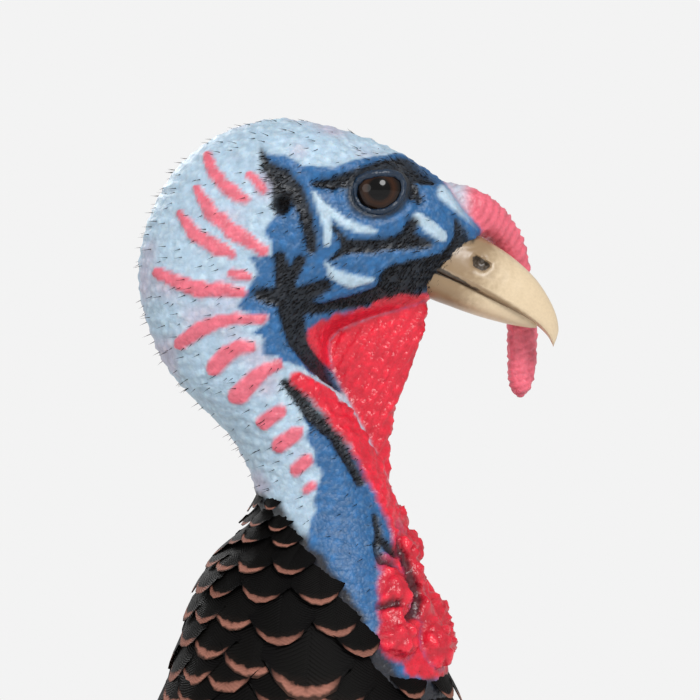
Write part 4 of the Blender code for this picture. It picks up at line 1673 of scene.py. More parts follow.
@dataclass
class Plumage:
    """Where and how each feather of one kind lies: a value for each, or one for all.

    Attributes:
        surface: what they lie on.
        along: the roots' places along the surface.
        around: the roots' places round it.
        length: in mm.
        width: in mm.
        low: the root's height over the surface, in mm.
        high: the tip's height.
        twist: how far each turns from the surface's lie, in radians, to the left of it.
        tilt: how much higher the left edge stands than the right, in mm.
        sheen: the colour of its metallic gloss.
    """

    surface: Surface
    along: Array
    around: Array
    length: Array
    width: Array | float
    low: Array | float
    high: Array | float
    twist: Array | float = 0.0
    tilt: Array | float = 0.0
    sheen: Array | float = 1.0

    def walked(self, ahead: Array, left: Array) -> tuple[Array, Array]:
        """The places at distances from each root, found row by row at the surface's pace there.

        Args:
            ahead: how far along the surface, in metres, feathers x rows x columns.
            left: how far round it.

        Returns:
            Their places along and round it, feathers x rows x columns.
        """
        step, found = self.surface.step, []
        a, b = (np.repeat(v[:, None], ahead.shape[2], axis=1) for v in (self.along, self.around))
        moves = (np.diff(v, axis=1, prepend=0.0).swapaxes(0, 1) for v in (ahead, left))
        for more_ahead, more_left in zip(*moves):
            here = self.surface.point(a, b)
            pace = np.linalg.norm(self.surface.point(a + step, b) - here, axis=-1) / step
            swing = np.linalg.norm(self.surface.point(a, b + step) - here, axis=-1) / step
            a, b = a + more_ahead / np.maximum(pace, 1e-4), b + more_left / np.maximum(swing, 1e-4)
            found.append((a, b))
        return tuple(np.stack(v, axis=1) for v in zip(*found))

    def form(self, vane: Vane, seed: int, patch: float | None = 0.003) -> Form:
        """The feathers as closed vanes.

        Args:
            vane: their shape.
            seed: what their unevenness grows from.
            patch: the side of each one's patch of the bake map, or None for strips side by side.

        Returns:
            A form with the map Vane (across, along each feather), the map OFBake (a patch at its
            root's place on the surface's unwrap), and the values Tone and Sheen.
        """
        u, t, share_across, share_along = vane.outline()
        count, rows, columns = len(self.along), *u.shape
        measures = (self.length, self.width, self.low, self.high, self.twist, self.tilt)
        length, width, low, high, twist, tilt = (np.broadcast_to(v, count)[:, None, None] for v in measures)
        rng = np.random.default_rng(seed)
        fray = rng.uniform(-1, 1, (count, rows, columns)) * vane.fray * eased(0.7, 1.0, t)
        ahead, aside = length * (share_along + fray) * MM, width / 2 * share_across * MM
        sine, cosine = np.sin(twist), np.cos(twist)
        along, around = self.walked(ahead * cosine - aside * sine, aside * cosine + ahead * sine)

        camber = vane.camber * u**2 * eased(0.0, 0.5, t)
        height = mixed(low, high, eased(-0.3, 1.1, t)) - camber + tilt * u / 2
        shaft = np.s_[:, :, columns // 2]
        top = self.surface.lifted(along, around, height)
        spine = self.surface.lifted(along[shaft], around[shaft], height[shaft] - vane.thickness)
        points = np.concatenate([top.reshape(count, -1, 3), spine], axis=1)
        index = np.arange(rows * columns).reshape(rows, columns)
        under = rows * columns + np.arange(rows)
        edges = np.concatenate([strips(under, index[:, 0]), strips(index[:, -1], under)])
        shapes = [
            np.concatenate([strips(index[:, :-1], index[:, 1:]), np.roll(edges, 1, axis=1)]),
            np.array([[*index[0], under[0]]]),
            np.array([[*index[-1, ::-1], under[-1]]]),
        ]
        offsets = (np.arange(count) * points.shape[1])[:, None, None]
        faces = [(offsets + f).reshape(-1, f.shape[1])[:, :: self.surface.hand] for f in shapes]
        form = Form(points.reshape(-1, 3), faces)

        flat_u = np.concatenate([u.ravel(), np.zeros(rows)]) * 0.5 + 0.5
        flat_t = np.concatenate([t.ravel(), t[:, 0]])
        vane_map = np.stack([flat_u, flat_t], axis=-1)
        form.maps["Vane"] = np.tile(vane_map, (count, 1))
        if patch is None:
            strip = (np.arange(count)[:, None] + 0.08 + 0.84 * flat_u) / count
            laid = np.stack([strip, np.tile(0.01 + 0.98 * flat_t, (count, 1))], axis=-1)
        else:
            roots = [0.01 + 0.98 * (v - v.min()) / max(np.ptp(v), 1e-9) for v in (self.around, self.along)]
            laid = np.stack(roots, axis=-1)[:, None, :] + (vane_map[None] - 0.5) * patch
        form.maps["OFBake"] = laid.reshape(-1, 2)
        form.values["Tone"] = np.repeat(rng.uniform(0, 1, count), points.shape[1])
        form.values["Sheen"] = np.repeat(np.broadcast_to(self.sheen, (count, 3)), points.shape[1], axis=0)
        return form


def staggered(rows: Sequence[float], columns: Array, step: float) -> tuple[Array, Array]:
    """The places of rows x columns feathers, where every second row is moved half a step round."""
    along, around = net(rows, columns)
    return along.ravel(), (around + 0.5 * step * (np.arange(len(rows)) % 2)[:, None]).ravel()


def scaled_rows(surface: Surface, start: float, end: float, columns: int, spacing: float) -> list[float]:
    """Stations for rows of feathers whose distance grows with the feathers' width.

    Args:
        surface: what they lie on.
        start: the first station.
        end: the last one.
        columns: how many feathers a row has.
        spacing: the rows' distance as a share of a feather's width.

    Returns:
        The stations, the last of them past the end.
    """
    rows, turn = [start], np.arange(24) / 24
    while rows[-1] < end:
        at = np.full(24, rows[-1])
        here = surface.point(at, turn)
        girth = np.linalg.norm(here - np.roll(here, 1, axis=0), axis=1).sum()
        pace = np.linalg.norm(surface.point(at + STATION_STEP, turn) - here, axis=1).mean() / STATION_STEP
        rows.append(rows[-1] + spacing * girth / columns / pace)
    return rows


def lattice(
    surface: Surface, rows: list[float], columns: int, seed: int, overlap: float = 1.35, cover: float = 2.3
) -> Plumage:
    """Feathers in staggered rows, each row's over the next one's roots, sized by the distances between them.

    Args:
        surface: what they lie on.
        rows: the rows' stations.
        columns: how many feathers a row has.
        seed: what their unevenness grows from.
        overlap: a feather's width over the distance to the next in its row.
        cover: a feather's length over the distance between rows.

    Returns:
        Where each feather lies, and its size.
    """
    rng = np.random.default_rng(seed)
    along, around = staggered(rows[:-1], np.arange(columns), 1.0)
    gap, count = np.repeat(np.diff(rows), columns), len(along)
    along = along + rng.uniform(-0.12, 0.12, count) * gap
    around = around / columns + rng.uniform(-0.10, 0.10, count) / columns
    pace, swing = surface.paces(along, around)
    width = overlap * swing / columns * rng.uniform(0.93, 1.08, count)
    length = np.maximum(cover * pace * gap, 1.1 * width) * rng.uniform(0.94, 1.06, count)
    ranges = ((-0.4, 0.7), (-0.13, 0.13), (-0.6, 0.6))
    high, twist, tilt = (rng.uniform(least, most, count) for least, most in ranges)
    return Plumage(surface, along, around, length, width, -2.0, 0.5 + high, twist, tilt)


@dataclass(frozen=True)
class VaneFinish:
    """A feather's surface: keratin barbs in close ranks on a shaft, matt, or glossy where they mirror.

    Attributes:
        name: which feathers they are.
        bands: stops of (place along the feather, hex colour).
        gloss: stops of (place along the feather, how metallic it is there, from 0 to 1).
        shaft: the shaft's colour.
        barbs: how many ranks of barbs show along the feather, each painted lighter on its crest and darker
            between as light and shade; drawn coarser than life so as to show.
        bars: how many dark cross bars it has.
        bar: the bars' colour.
        bar_share: how much of the length the bars darken.
        bar_end: where along the feather the bars stop.
        waver: how unevenly they run.
        roughness: how dull the barbs are.
        curve: how far the bands bend back towards the edges, as a share of the length.
        hem: how far aside, from 0 to 1, the tip's colour reaches before it darkens.
        shine: how strongly light glances off the barbs.
        quill: how clearly the shaft shows, from 0 to 1.
    """

    name: str
    bands: tuple[tuple[float, str], ...]
    gloss: tuple[tuple[float, float], ...] = ((0.0, 0.0), (1.0, 0.0))
    shaft: str = "2A1D14"
    barbs: float = 34.0
    bars: float = 0.0
    bar: str = "0E0B0A"
    bar_share: float = 0.5
    bar_end: float = 1.1
    waver: float = 0.16
    roughness: float = 0.5
    curve: float = 0.10
    hem: float = 1.3
    shine: float = 0.3
    quill: float = 0.25

    def material(self) -> Material:
        """The finish as a material.

        Returns:
            The new material.
        """
        made = Recipe(self.name, Specular_IOR_Level=self.shine)
        maths, fall = made.maths, made.fall
        aside, along = made.vane_place()
        tone, sheen = made.attribute("Tone"), made.attribute("Sheen", "Color")
        ragged = maths("MULTIPLY_ADD", made.noise(2.2, 2.0), 0.10, -0.05)
        ragged = maths("ADD", ragged, maths("MULTIPLY_ADD", tone, 0.05, -0.025))
        bend = maths("MULTIPLY", maths("MULTIPLY", aside, aside), self.curve)
        place = maths("ADD", maths("ADD", along, bend), ragged)
        colour = made.ramp(place, self.bands)
        colour = made.blend(fall(aside, self.hem - 0.2, self.hem + 0.1), colour, self.bands[0][1])
        metal = made.add("ShaderNodeSeparateColor", {0: made.ramp(place, self.gloss)}).outputs[0]
        colour = made.blend(metal, colour, sheen)
        if self.bars:
            lie = maths("ADD", along, maths("MULTIPLY", bend, -1.2))
            lie = maths("ADD", lie, maths("MULTIPLY", ragged, self.waver))
            wave = maths("SINE", maths("MULTIPLY", lie, self.bars * TAU))
            light = 1 - 2 * self.bar_share
            dark = fall(wave, light - 0.25, light + 0.25)
            until = fall(place, self.bar_end - 0.01, self.bar_end + 0.01, 1.0, 0.0)
            colour = made.blend(maths("MULTIPLY", dark, until), colour, self.bar)
        swept = maths("SUBTRACT", along, maths("MULTIPLY", aside, 7.0 / self.barbs))
        rank = maths("SINE", maths("MULTIPLY", swept, self.barbs * TAU))
        # Painted light and shade: each rank of barbs is lighter on the crest of its bump and darker between.
        level = maths("ADD", maths("MULTIPLY_ADD", tone, 0.36, 0.82), maths("MULTIPLY", rank, 0.07))
        colour = made.dimmed(colour, level)
        on_shaft = fall(aside, 0.03, 0.055, 1.0, 0.0)
        shaft = maths("MULTIPLY", on_shaft, fall(along, 0.86, 0.95, self.quill, 0.0))
        colour = made.blend(shaft, colour, self.shaft)
        made.bump(maths("ADD", maths("MULTIPLY", rank, 0.5), maths("MULTIPLY", shaft, 1.6)), 0.12, 0.7)
        rough = maths("MULTIPLY_ADD", metal, -0.06, self.roughness)
        return made.drive(Base_Color=colour, Metallic=maths("MULTIPLY", metal, 0.72), Roughness=rough)


NECK_VANE = VaneFinish(
    "black neck feathers with brown hems",
    ((0, "040303"), (0.78, "060504"), (0.865, "120C09"), (0.90, "84574A"), (0.96, "936355"), (1, "3A2821")),
    shaft="050404", barbs=22.0, roughness=0.55, curve=0.03, hem=0.66, shine=0.08,
)
BODY_VANE = VaneFinish(
    "bronze body feathers with black hems",
    ((0, "241A14"), (0.45, "2B1E16"), (0.84, "3A281B"), (0.885, "0A0807"), (0.965, "0B0908"), (1, "2E221B")),
    ((0.0, 0.05), (0.45, 0.35), (0.60, 0.95), (0.84, 1.0), (0.89, 0.05), (1.0, 0.0)),
    barbs=30.0, roughness=0.52,
)
RUMP_VANE = VaneFinish(
    "bronze covert feathers with chestnut tips",
    ((0.0, "2A1B12"), (0.5, "3A2415"), (0.72, "1A0F0A"), (0.80, "120B08"), (0.86, "6C422D"), (1.0, "80523A")),
    ((0.0, 0.05), (0.4, 0.4), (0.55, 0.9), (0.72, 0.9), (0.79, 0.1), (0.86, 0.0), (1.0, 0.0)),
    roughness=0.45, bars=16.0, bar="0F0906", bar_share=0.28, bar_end=0.5,
)
THIGH_VANE = VaneFinish(
    "brown-black thigh feathers",
    ((0.0, "191310"), (0.8, "241B16"), (0.90, "30241C"), (0.95, "4A382C"), (1.0, "5A4638")),
    ((0.0, 0.0), (0.35, 0.5), (0.55, 0.85), (0.82, 0.85), (0.9, 0.0), (1.0, 0.0)),
    barbs=26.0, roughness=0.6,
)
COVERT_VANE = VaneFinish(
    "bronze wing coverts with black tips",
    ((0.0, "2A1C13"), (0.78, "34241A"), (0.86, "0A0807"), (0.96, "0B0908"), (1.0, "231A15")),
    ((0.0, 0.1), (0.3, 0.6), (0.55, 1.0), (0.80, 1.0), (0.87, 0.05), (1.0, 0.0)),
    barbs=40.0,
)
SECONDARY_VANE = VaneFinish(
    "barred secondaries", ((0.0, "5C5048"), (0.5, "9C9186"), (1.0, "B4AA9E")),
    shaft="1D1612", barbs=150.0, bars=17.0, bar="352B24", bar_share=0.52, roughness=0.55, curve=0.05,
    quill=0.7,
)
PRIMARY_VANE = VaneFinish(
    "barred primaries", ((0.0, "8E877E"), (1.0, "DAD5CC")),
    shaft="16110E", barbs=170.0, bars=20.0, bar="1A1512", bar_share=0.52, roughness=0.52, curve=0.05,
    quill=0.7,
)
TERTIAL_VANE = VaneFinish(
    "bronze-brown inner secondaries", ((0.0, "3A2A1E"), (0.8, "5A4030"), (1.0, "4A3528")),
    ((0.0, 0.2), (0.6, 0.55), (0.95, 0.5), (1.0, 0.1)),
    shaft="1A120D", barbs=110.0, bars=13.0, bar="1D1410", bar_share=0.38, roughness=0.46, curve=0.05,
    quill=0.7,
)
TAIL_VANE = VaneFinish(
    "barred tail feathers",
    ((0, "4A3424"), (0.80, "7E5433"), (0.835, "0D0907"), (0.915, "100B08"), (0.935, "8C4F2B"), (1, "B06A3C")),
    shaft="1A110B", barbs=190.0, bars=36.0, bar="130D09", bar_share=0.46, bar_end=0.82, waver=0.5, curve=0.03,
    quill=0.6,
)
TAIL_COVERT_VANE = VaneFinish(
    "bronze tail coverts with chestnut tips",
    ((0.0, "2A1B12"), (0.5, "3A2415"), (0.76, "1A0F0A"), (0.83, "120B08"), (0.88, "6C422D"), (1.0, "80523A")),
    ((0.0, 0.05), (0.4, 0.5), (0.60, 0.9), (0.78, 0.8), (0.84, 0.1), (0.9, 0.0), (1.0, 0.0)),
    barbs=60.0, roughness=0.45, bars=9.0, bar="0F0906", bar_share=0.3, bar_end=0.6,
)


def sheen_at(points: Array) -> Array:
    """The metallic colour of a feather by where it grows: copper on the breast, gold and green above.

    Args:
        points: the feathers' roots.

    Returns:
        A linear colour for each.
    """
    x, z = points[:, 0] / MM + MIDDLE_X, points[:, 2] / MM
    belly = eased(430.0, 340.0, z) * eased(170.0, 60.0, x) * eased(-260.0, -140.0, x)
    return layered(
        Sheen.COPPER,
        (Sheen.GOLD, eased(430.0, 560.0, z + 0.3 * x)),
        (Sheen.GREEN, eased(0.0, 1.0, rolling(points, 60, 4)) * 0.55),
        (Sheen.ROSE, eased(-120.0, -260.0, x) * 0.55),
        (Sheen.COPPER, eased(150.0, 250.0, x) * eased(700.0, 600.0, z) * 0.5),
        (Sheen.UMBER, belly * 0.75),
    )


def leg_point(side: Side, forward: float, outward: float, up: float, stride_share: float = 1.0) -> Array:
    """A place on a leg: forward, outward and up in mm, moved by a share of the foot's stride."""
    return placed(forward + stride_share * STRIDE[side], side.sign * (FOOT_SPREAD + outward), up)


# The thigh's middle line: forward, outward and up in mm, and the share of the foot's stride there.
THIGH_PATH = (
    (22.0, -10.0, 352.0, 0.1), (8.0, 5.0, 300.0, 0.25), (-14.0, 6.0, 244.0, 0.45),
    (-31.0, 4.5, 203.0, 0.6), (-40.0, 4.0, HOCK_HEIGHT, 0.65), (-42.0, 3.7, 158.0, 0.68),
)
THIGH_RADII = (38.0, 45.0, 31.0, 17.5, 11.0, 7.2)


def thigh_surface(side: Side) -> Tube:
    """The feathered thigh, from the belly down to the hock."""
    return Tube([leg_point(side, *p) for p in THIGH_PATH], THIGH_RADII, flat=1.3)


@dataclass
class BodyPlumage:
    """The feathers of the neck, trunk, rump and thighs.

    Attributes:
        neck_columns: how many feathers go round the neck.
        body_columns: how many go round the trunk.
        rump_columns: how many go round the rump.
        thigh_columns: how many go round a thigh.
        spacing: the distance between rows as a share of a feather's width.
        neck_span: the stations of the neck's first row and last.
        trunk_start: the station of the trunk's first row.
        rump_start: the station where the trunk's rows end and the rump's begin.
    """

    neck_columns: int = 16
    body_columns: int = 26
    rump_columns: int = 17
    thigh_columns: int = 18
    spacing: float = 0.56
    neck_span: Span = (7.2, 10.4)
    trunk_start: float = 10.25
    rump_start: float = PLACES["vent"] + 0.3

    def neck(self) -> Form:
        """The neck's small feathers, from where the bare skin ends.

        Returns:
            The feathers, with their maps and values.
        """
        rows = scaled_rows(BODY, *self.neck_span, self.neck_columns, self.spacing)
        coat = lattice(BODY, rows, self.neck_columns, 3, overlap=1.45)
        x, z = HeadSkin.seen(*eye_measures(BODY.point(coat.along, coat.around)))
        below = below_feather_line(x, z) + 2.5 + 5.0 * eased(4.0, 16.0, x)
        size = mixed(0.62, 1.0, eased(0.0, 16.0, below))
        coat.length, coat.width, coat.high = coat.length * size, coat.width * size, coat.high * 0.8 + 0.3
        for name in ("along", "around", "length", "width", "high", "twist", "tilt"):
            setattr(coat, name, getattr(coat, name)[below > 0.5])
        coat.low, coat.sheen = -2.2, linear(Sheen.UMBER)
        vane = Vane(across=6, along=8, root=0.55, rounding=0.34, squareness=2.2, camber=0.6, thickness=0.4)
        return coat.form(vane, 31)

    def trunk(self) -> Form:
        """The body feathers, down to the rump.

        Returns:
            The feathers, with their maps and values.
        """
        rows = scaled_rows(BODY, self.trunk_start, self.rump_start, self.body_columns, self.spacing)
        coat = lattice(BODY, rows, self.body_columns, 5)
        roots = BODY.point(coat.along, coat.around)
        coat.low, coat.high = -3.2, coat.high + 0.2
        nearer = eased(9.9, 11.2, coat.along + 0.15 * rolling(roots, 30, 6))
        coat.sheen = layered(Sheen.UMBER, (sheen_at(roots), nearer))
        return coat.form(Vane(squareness=2.8), 37)

    def rump(self) -> Form:
        """The rump's feathers and the tail coverts, which lie over the root of the tail.

        Returns:
            The feathers, with their maps and values.
        """
        last = PLACES["covert tips"] + 0.55
        rows = scaled_rows(BODY, self.rump_start, last, self.rump_columns, self.spacing * 0.9)
        coat = lattice(BODY, rows, self.rump_columns, 7, cover=3.0)
        coat.low, coat.sheen = -3.2, sheen_at(BODY.point(coat.along, coat.around))
        return coat.form(Vane(along=8, rounding=0.22, camber=0.9), 41)

    def thighs(self) -> Form:
        """The short dark feathers of both thighs, down to the cuff over the hock.

        Returns:
            The feathers, with their maps and values.
        """
        made = []
        for side in Side:
            surface = thigh_surface(side)
            rows = scaled_rows(surface, 0.2, 4.1, self.thigh_columns, 0.75)
            coat = lattice(surface, rows, self.thigh_columns, 11, overlap=1.5, cover=2.4)
            top = layered(Sheen.UMBER, (Sheen.COPPER, 0.7 * eased(1.5, 0.5, coat.along)))
            coat.sheen = layered(Sheen.DUSK, (top, eased(2.3, 0.9, coat.along)))
            coat.low, coat.high = -1.8, coat.high * 0.7 - 0.8 * eased(3.4, 4.1, coat.along)
            vane = Vane(across=4, along=5, rounding=0.3, squareness=2.0, camber=0.5, thickness=0.4)
            made.append(coat.form(vane, 43))
        return Form.joined(made)


# ---- Pieces --------------------------------------------------------------------------------------


def piece(
    name: str, form: Form, material: Material, nodes: Sequence[str], crisp: float = 50.0
) -> None:
    """Makes a form a finished piece that rides on the bird.

    Args:
        name: the piece's name.
        form: its mesh in the making.
        material: its finish.
        nodes: the solids that it stands for.
        crisp: edges sharper than this angle, in degrees, are kept; 0 rounds them all.
    """
    mesh = form.mesh(name)
    mesh.materials.append(material)
    mesh.shade_smooth()
    if crisp:
        mesh.set_sharp_from_angle(angle=math.radians(crisp))
    made = shown(name, mesh)
    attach(made, "root")
    if nodes:
        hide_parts(*nodes)
    log.info("%s: %d triangles", name, sum(len(f) * (f.shape[1] - 2) for f in form.faces))


@dataclass
class Eyes:
    """The two eyeballs, each with its iris and pupil facing out to the side.

    Attributes:
        rings: how many rings of faces from the pupil to the back.
        spokes: how many faces round each ring.
        bulge: how far the middle stands out, as a share of the radius, and over how wide an angle.
    """

    rings: int = 40
    spokes: int = 64
    bulge: tuple[float, float] = (0.045, 0.45)

    def build(self) -> None:
        """Makes both eyes."""
        finish = EyeGloss().material()
        tilt, turn = net(np.linspace(0.0, math.pi, self.rings + 2)[1:-1], turns(self.spokes))
        radius = EYE_RADIUS * (1 + self.bulge[0] * hump(tilt, 0.0, self.bulge[1]))[..., None]
        sine = np.sin(tilt)
        for side in Side:
            sign = side.sign
            out = np.stack([sine * np.cos(turn), sign * np.cos(tilt), sine * np.sin(turn) * -sign], axis=-1)
            form = Form.from_rings(out * radius * MM + from_eye(0, sign * EYE_OUT, 0))
            form.values = {"Out": np.sin(np.minimum(tilt, math.pi / 2)).ravel(), "Turn": turn.ravel()}
            piece(f"eyeball_{side}", form, finish, [f"eye_{side}"], crisp=0)


@dataclass
class Bill:
    """The hooked upper mandible and the shorter lower one.

    Attributes:
        rings: how many rings each mandible has.
        columns: how many corners each ring has.
        nostril: its place along the bill in mm and up its side as a share, and half its length and height.
        bare: where along the bill the skin ends, in mm.
        palate: how far the upper one's inner face rises, as a share; under 0 it bulges down.
        gutter: how far the lower one's inner face sinks, as a share.
        upper: stations (along the bill, ridge, biting edge, half width), in mm from the eye.
        lower: the same for the lower mandible.
    """

    rings: int = 100
    columns: int = 60
    nostril: Row = (33.0, 0.5, 2.7, 0.105)
    bare: float = 24.0
    palate: float = -0.07
    gutter: float = 0.16
    upper: tuple[Row, ...] = (
        (16.0, 0.2, -12.8, 7.9), (25.0, 0.7, -13.1, 8.5), (32.0, 0.2, -13.3, 8.2),
        (40.0, -1.2, -13.7, 7.3), (48.0, -4.0, -14.3, 5.8), (53.5, -7.4, -15.2, 4.3),
        (57.5, -11.0, -16.8, 2.8), (59.8, -14.4, -18.6, 1.3), (60.4, -17.0, -19.4, 0.3),
    )
    lower: tuple[Row, ...] = (
        (13.5, -19.6, -13.3, 7.6), (22.5, -20.6, -13.6, 8.0), (30.0, -20.4, -13.8, 7.3),
        (38.0, -19.9, -14.2, 6.0), (46.0, -18.8, -14.7, 4.1), (51.5, -17.6, -15.3, 2.2),
        (54.0, -16.7, -15.7, 0.6),
    )

    def half(self, upper: bool) -> Form:
        """One mandible, domed over or under its biting edge, with the nostril if it is the upper one.

        Args:
            upper: whether it is the upper mandible, whose inner face fills the hollow of the lower.

        Returns:
            A closed form whose value Far runs from the base to the tip, and is low where shade is painted: in
            the nostril, under the skin's edge and inside the mouth.
        """
        stations = np.array(self.upper if upper else self.lower)
        rows = through(stations, np.linspace(0, len(stations) - 1, self.rings))
        turn = (np.arange(self.columns) + 0.5) / self.columns * TAU
        sine, cosine = np.sin(turn), np.cos(turn)
        u, ridge, edge, half = (rows[:, k, None] for k in range(4))
        dome, rise = sine > 0, np.abs(sine) ** 0.82
        across = half * np.sign(cosine) * np.abs(cosine) ** 0.92
        inner = self.palate if upper else self.gutter
        height = np.where(dome, mixed(edge, ridge, rise), mixed(edge, ridge, inner * rise))
        far = np.broadcast_to(0.15 + 0.85 * (u - self.bare) / (u[-1] - self.bare), across.shape)
        if upper:
            level = (height - edge) / (ridge - edge)
            nostril_u, nostril_level, half_long, half_high = self.nostril
            slit = np.hypot((u - nostril_u) / half_long, (level - nostril_level) / half_high)
            hole = eased(1.15, 0.7, slit) * dome
            lip = hump(slit, 1.35, 0.28) * (level > nostril_level) * dome
            across = across + np.sign(across) * (0.35 * lip - 1.7 * hole)
            # Far sinks in the nostril and towards the skin's edge, so that the horn is painted dark there as
            # shade.
            far = far - 0.9 * hole - 0.30 * eased(0.45, 0.95, level) * eased(36.0, 27.0, u) * dome
        # On the inner faces Far sinks too, so that the inside of the mouth is painted dark as shade near the
        # base.
        far = np.where(dome, far, far - 0.35)
        bx = u * math.cos(BILL_PITCH) + height * math.sin(BILL_PITCH)
        bz = height * math.cos(BILL_PITCH) - u * math.sin(BILL_PITCH)
        rings = np.stack([bx, across, bz], axis=-1) * MM + from_eye(0, 0, 0)
        outward = np.s_[:, :: -1 if upper else 1]
        form = Form.from_rings(rings[outward])
        form.values["Far"] = far[outward].ravel()
        return form

    def build(self) -> None:
        """Makes both mandibles."""
        # The bill's deep colour is painted shade, for the nostril, the skin's edge and the mouth.
        horn = Horn("bill keratin", "8E7658", "DCC7A6", roughness=0.36, deep="1E1712").material()
        for part in ("upper", "lower"):
            half = self.half(part == "upper")
            piece(f"mandible_{part}", half, horn, [f"{part}_bill"], crisp=60)


# ---- Floor, light and camera ---------------------------------------------------------------------


@dataclass(frozen=True)
class Lamp:
    """A round soft box.

    Attributes:
        place: where it stands, in metres.
        target: what it faces.
        size: its width, in metres.
        power: in watts.
    """

    place: Point
    target: Point
    size: float
    power: float

    def shine(self, name: str) -> None:
        """Sets the lamp up.

        Args:
            name: what it is for.
        """
        data = bpy.data.lights.new(name, "AREA")
        data.shape, data.size, data.energy = "DISK", self.size, self.power
        made = shown(name, data)
        made.location = self.place
        made.rotation_euler = (Vector(self.target) - Vector(self.place)).to_track_quat("-Z", "Y").to_euler()


@dataclass
class Studio:
    """The pale floor, the soft lamps and the camera.

    Attributes:
        paper: the floor's and the background's colour.
        reach: the camera's distance from the bird's middle plane.
        lens: in mm, on a sensor 36 mm wide.
        aim: what the camera looks at, forward and up in mm from the eye.
        far: the backdrop's distance.
        sky: how bright the sky's light is.
        disc: the floor's radius.
        fade: between which distances from the bird the floor passes into the background.
        lamps: the soft boxes, by what each is for.
    """

    paper: str = "F3F3F3"
    reach: float = 0.5327
    lens: float = 100.0
    aim: tuple[float, float] = (-7.7, -42.5)
    far: float = 62.0
    sky: float = 0.55
    disc: float = 60.0
    fade: Span = (0.9, 2.6)
    lamps: dict[str, Lamp] = field(
        default_factory=lambda: {
            "key": Lamp((0.9, -1.5, 1.9), tuple(from_eye(-20, 0, -20)), 0.8, 26.0),
            "fill": Lamp((-1.6, -1.4, 1.2), (0.0, 0.0, 0.5), 1.4, 10.0),
            "rim": Lamp((-0.6, 1.6, 1.8), (0.1, 0.0, 0.6), 1.0, 18.0),
        }
    )

    @staticmethod
    def staged(name: str, form: Form, finish: Recipe, surface: Socket) -> Object:
        """Adds a part of the studio, whose finish ends in the surface given.

        Args:
            name: what it is.
            form: its mesh in the making.
            finish: its material in the making.
            surface: what the material ends in.

        Returns:
            The object.
        """
        finish.tree.links.new(surface, finish.tree.nodes["Material Output"].inputs["Surface"])
        mesh = form.mesh(name)
        mesh.materials.append(finish.material)
        made = shown(name, mesh)
        return made

    def floor(self) -> None:
        """A wide disc, white under the bird, that passes into the plain background further out."""
        made = Recipe("matt white floor", Roughness=0.9, Specular_IOR_Level=0.2, Base_Color=rgba(self.paper))
        place = made.add("ShaderNodeTexCoord").outputs["Object"]
        away = made.add("ShaderNodeVectorMath", {0: place}, operation="LENGTH").outputs["Value"]
        ends = {0: away, 1: self.fade[0], 2: self.fade[1]}
        fade = made.add("ShaderNodeMapRange", ends, interpolation_type="SMOOTHSTEP").outputs[0]
        glow = made.add("ShaderNodeEmission", {"Color": self.paper, "Strength": 1.0}).outputs[0]
        mix = made.add("ShaderNodeMixShader", {0: fade, 1: made.shader.outputs[0], 2: glow}).outputs[0]
        turn = turns(96)
        disc = np.stack([np.cos(turn), np.sin(turn), 0 * turn], axis=-1) * self.disc
        self.staged("floor", Form(disc, [np.arange(96)[None, :]]), made, mix)

    def backdrop(self) -> None:
        """A plain pale shell far round the bird, which shows behind it but throws no light on it."""
        made = Recipe("plain backdrop")
        glow = made.add("ShaderNodeEmission", {"Color": self.paper, "Strength": 1.0}).outputs[0]
        tilt, turn = net(np.linspace(0.02, math.pi - 0.02, 24), turns(48))
        out = np.stack([np.sin(tilt) * np.cos(turn), np.sin(tilt) * np.sin(turn), np.cos(tilt)], axis=-1)
        shell = self.staged("backdrop", Form.from_rings(out * self.far), made, glow)
        for ray in ("diffuse", "glossy", "transmission", "shadow"):
            setattr(shell, f"visible_{ray}", False)

    def world(self) -> None:
        """An even, dimmer pale sky, so that the lamps can shape the bird."""
        world = bpy.data.worlds.new("studio")
        world.use_nodes = True
        back = world.node_tree.nodes["Background"].inputs
        back["Color"].default_value, back["Strength"].default_value = rgba(self.paper), self.sky
        bpy.context.scene.world = world

    def camera(self) -> None:
        """The camera, level, square to the bird's right side."""
        data = bpy.data.cameras.new("camera")
        data.lens, data.sensor_width = self.lens, 36.0
        data.clip_start, data.clip_end = 0.01, 100.0
        made = shown("camera", data)
        target = from_eye(self.aim[0], 0.0, self.aim[1])
        made.location, made.rotation_euler = (target[0], -self.reach, target[2]), (math.pi / 2, 0, 0)
        bpy.context.scene.camera = made

    def build(self) -> None:
        """Makes the studio."""
        bpy.context.scene.view_settings.view_transform = "Standard"
        self.floor()
        self.backdrop()
        self.world()
        self.camera()
        for name, lamp in self.lamps.items():
            lamp.shine(name)


# ---- Wings and tail ------------------------------------------------------------------------------

# The folded wing's stations: upper edge (x, z), lower edge (x, z) and thickness, in mm.
WING_STATIONS = {
    "wrist": (216.0, 552.0, 224.0, 508.0, 6.0),
    "shoulder": (186.0, 588.0, 206.0, 452.0, 12.0),
    "forearm": (118.0, 601.0, 150.0, 398.0, 15.0),
    "elbow": (28.0, 588.0, 62.0, 364.0, 15.5),
    "secondaries": (-72.0, 551.0, -48.0, 357.0, 14.5),
    "tertial tips": (-164.0, 506.0, -150.0, 368.0, 12.5),
    "primaries": (-246.0, 461.0, -240.0, 382.0, 10.0),
    "wing tip": (-318.0, 418.0, -318.0, 396.0, 6.0),
}
WING_EDGE = 4.5  # its thickness at the edges
LONG_VANE = Vane(
    across=6, along=22, root=0.4, full=0.3, rounding=0.10, squareness=2.2, camber=1.2, thickness=0.7,
    fray=0.004,
)


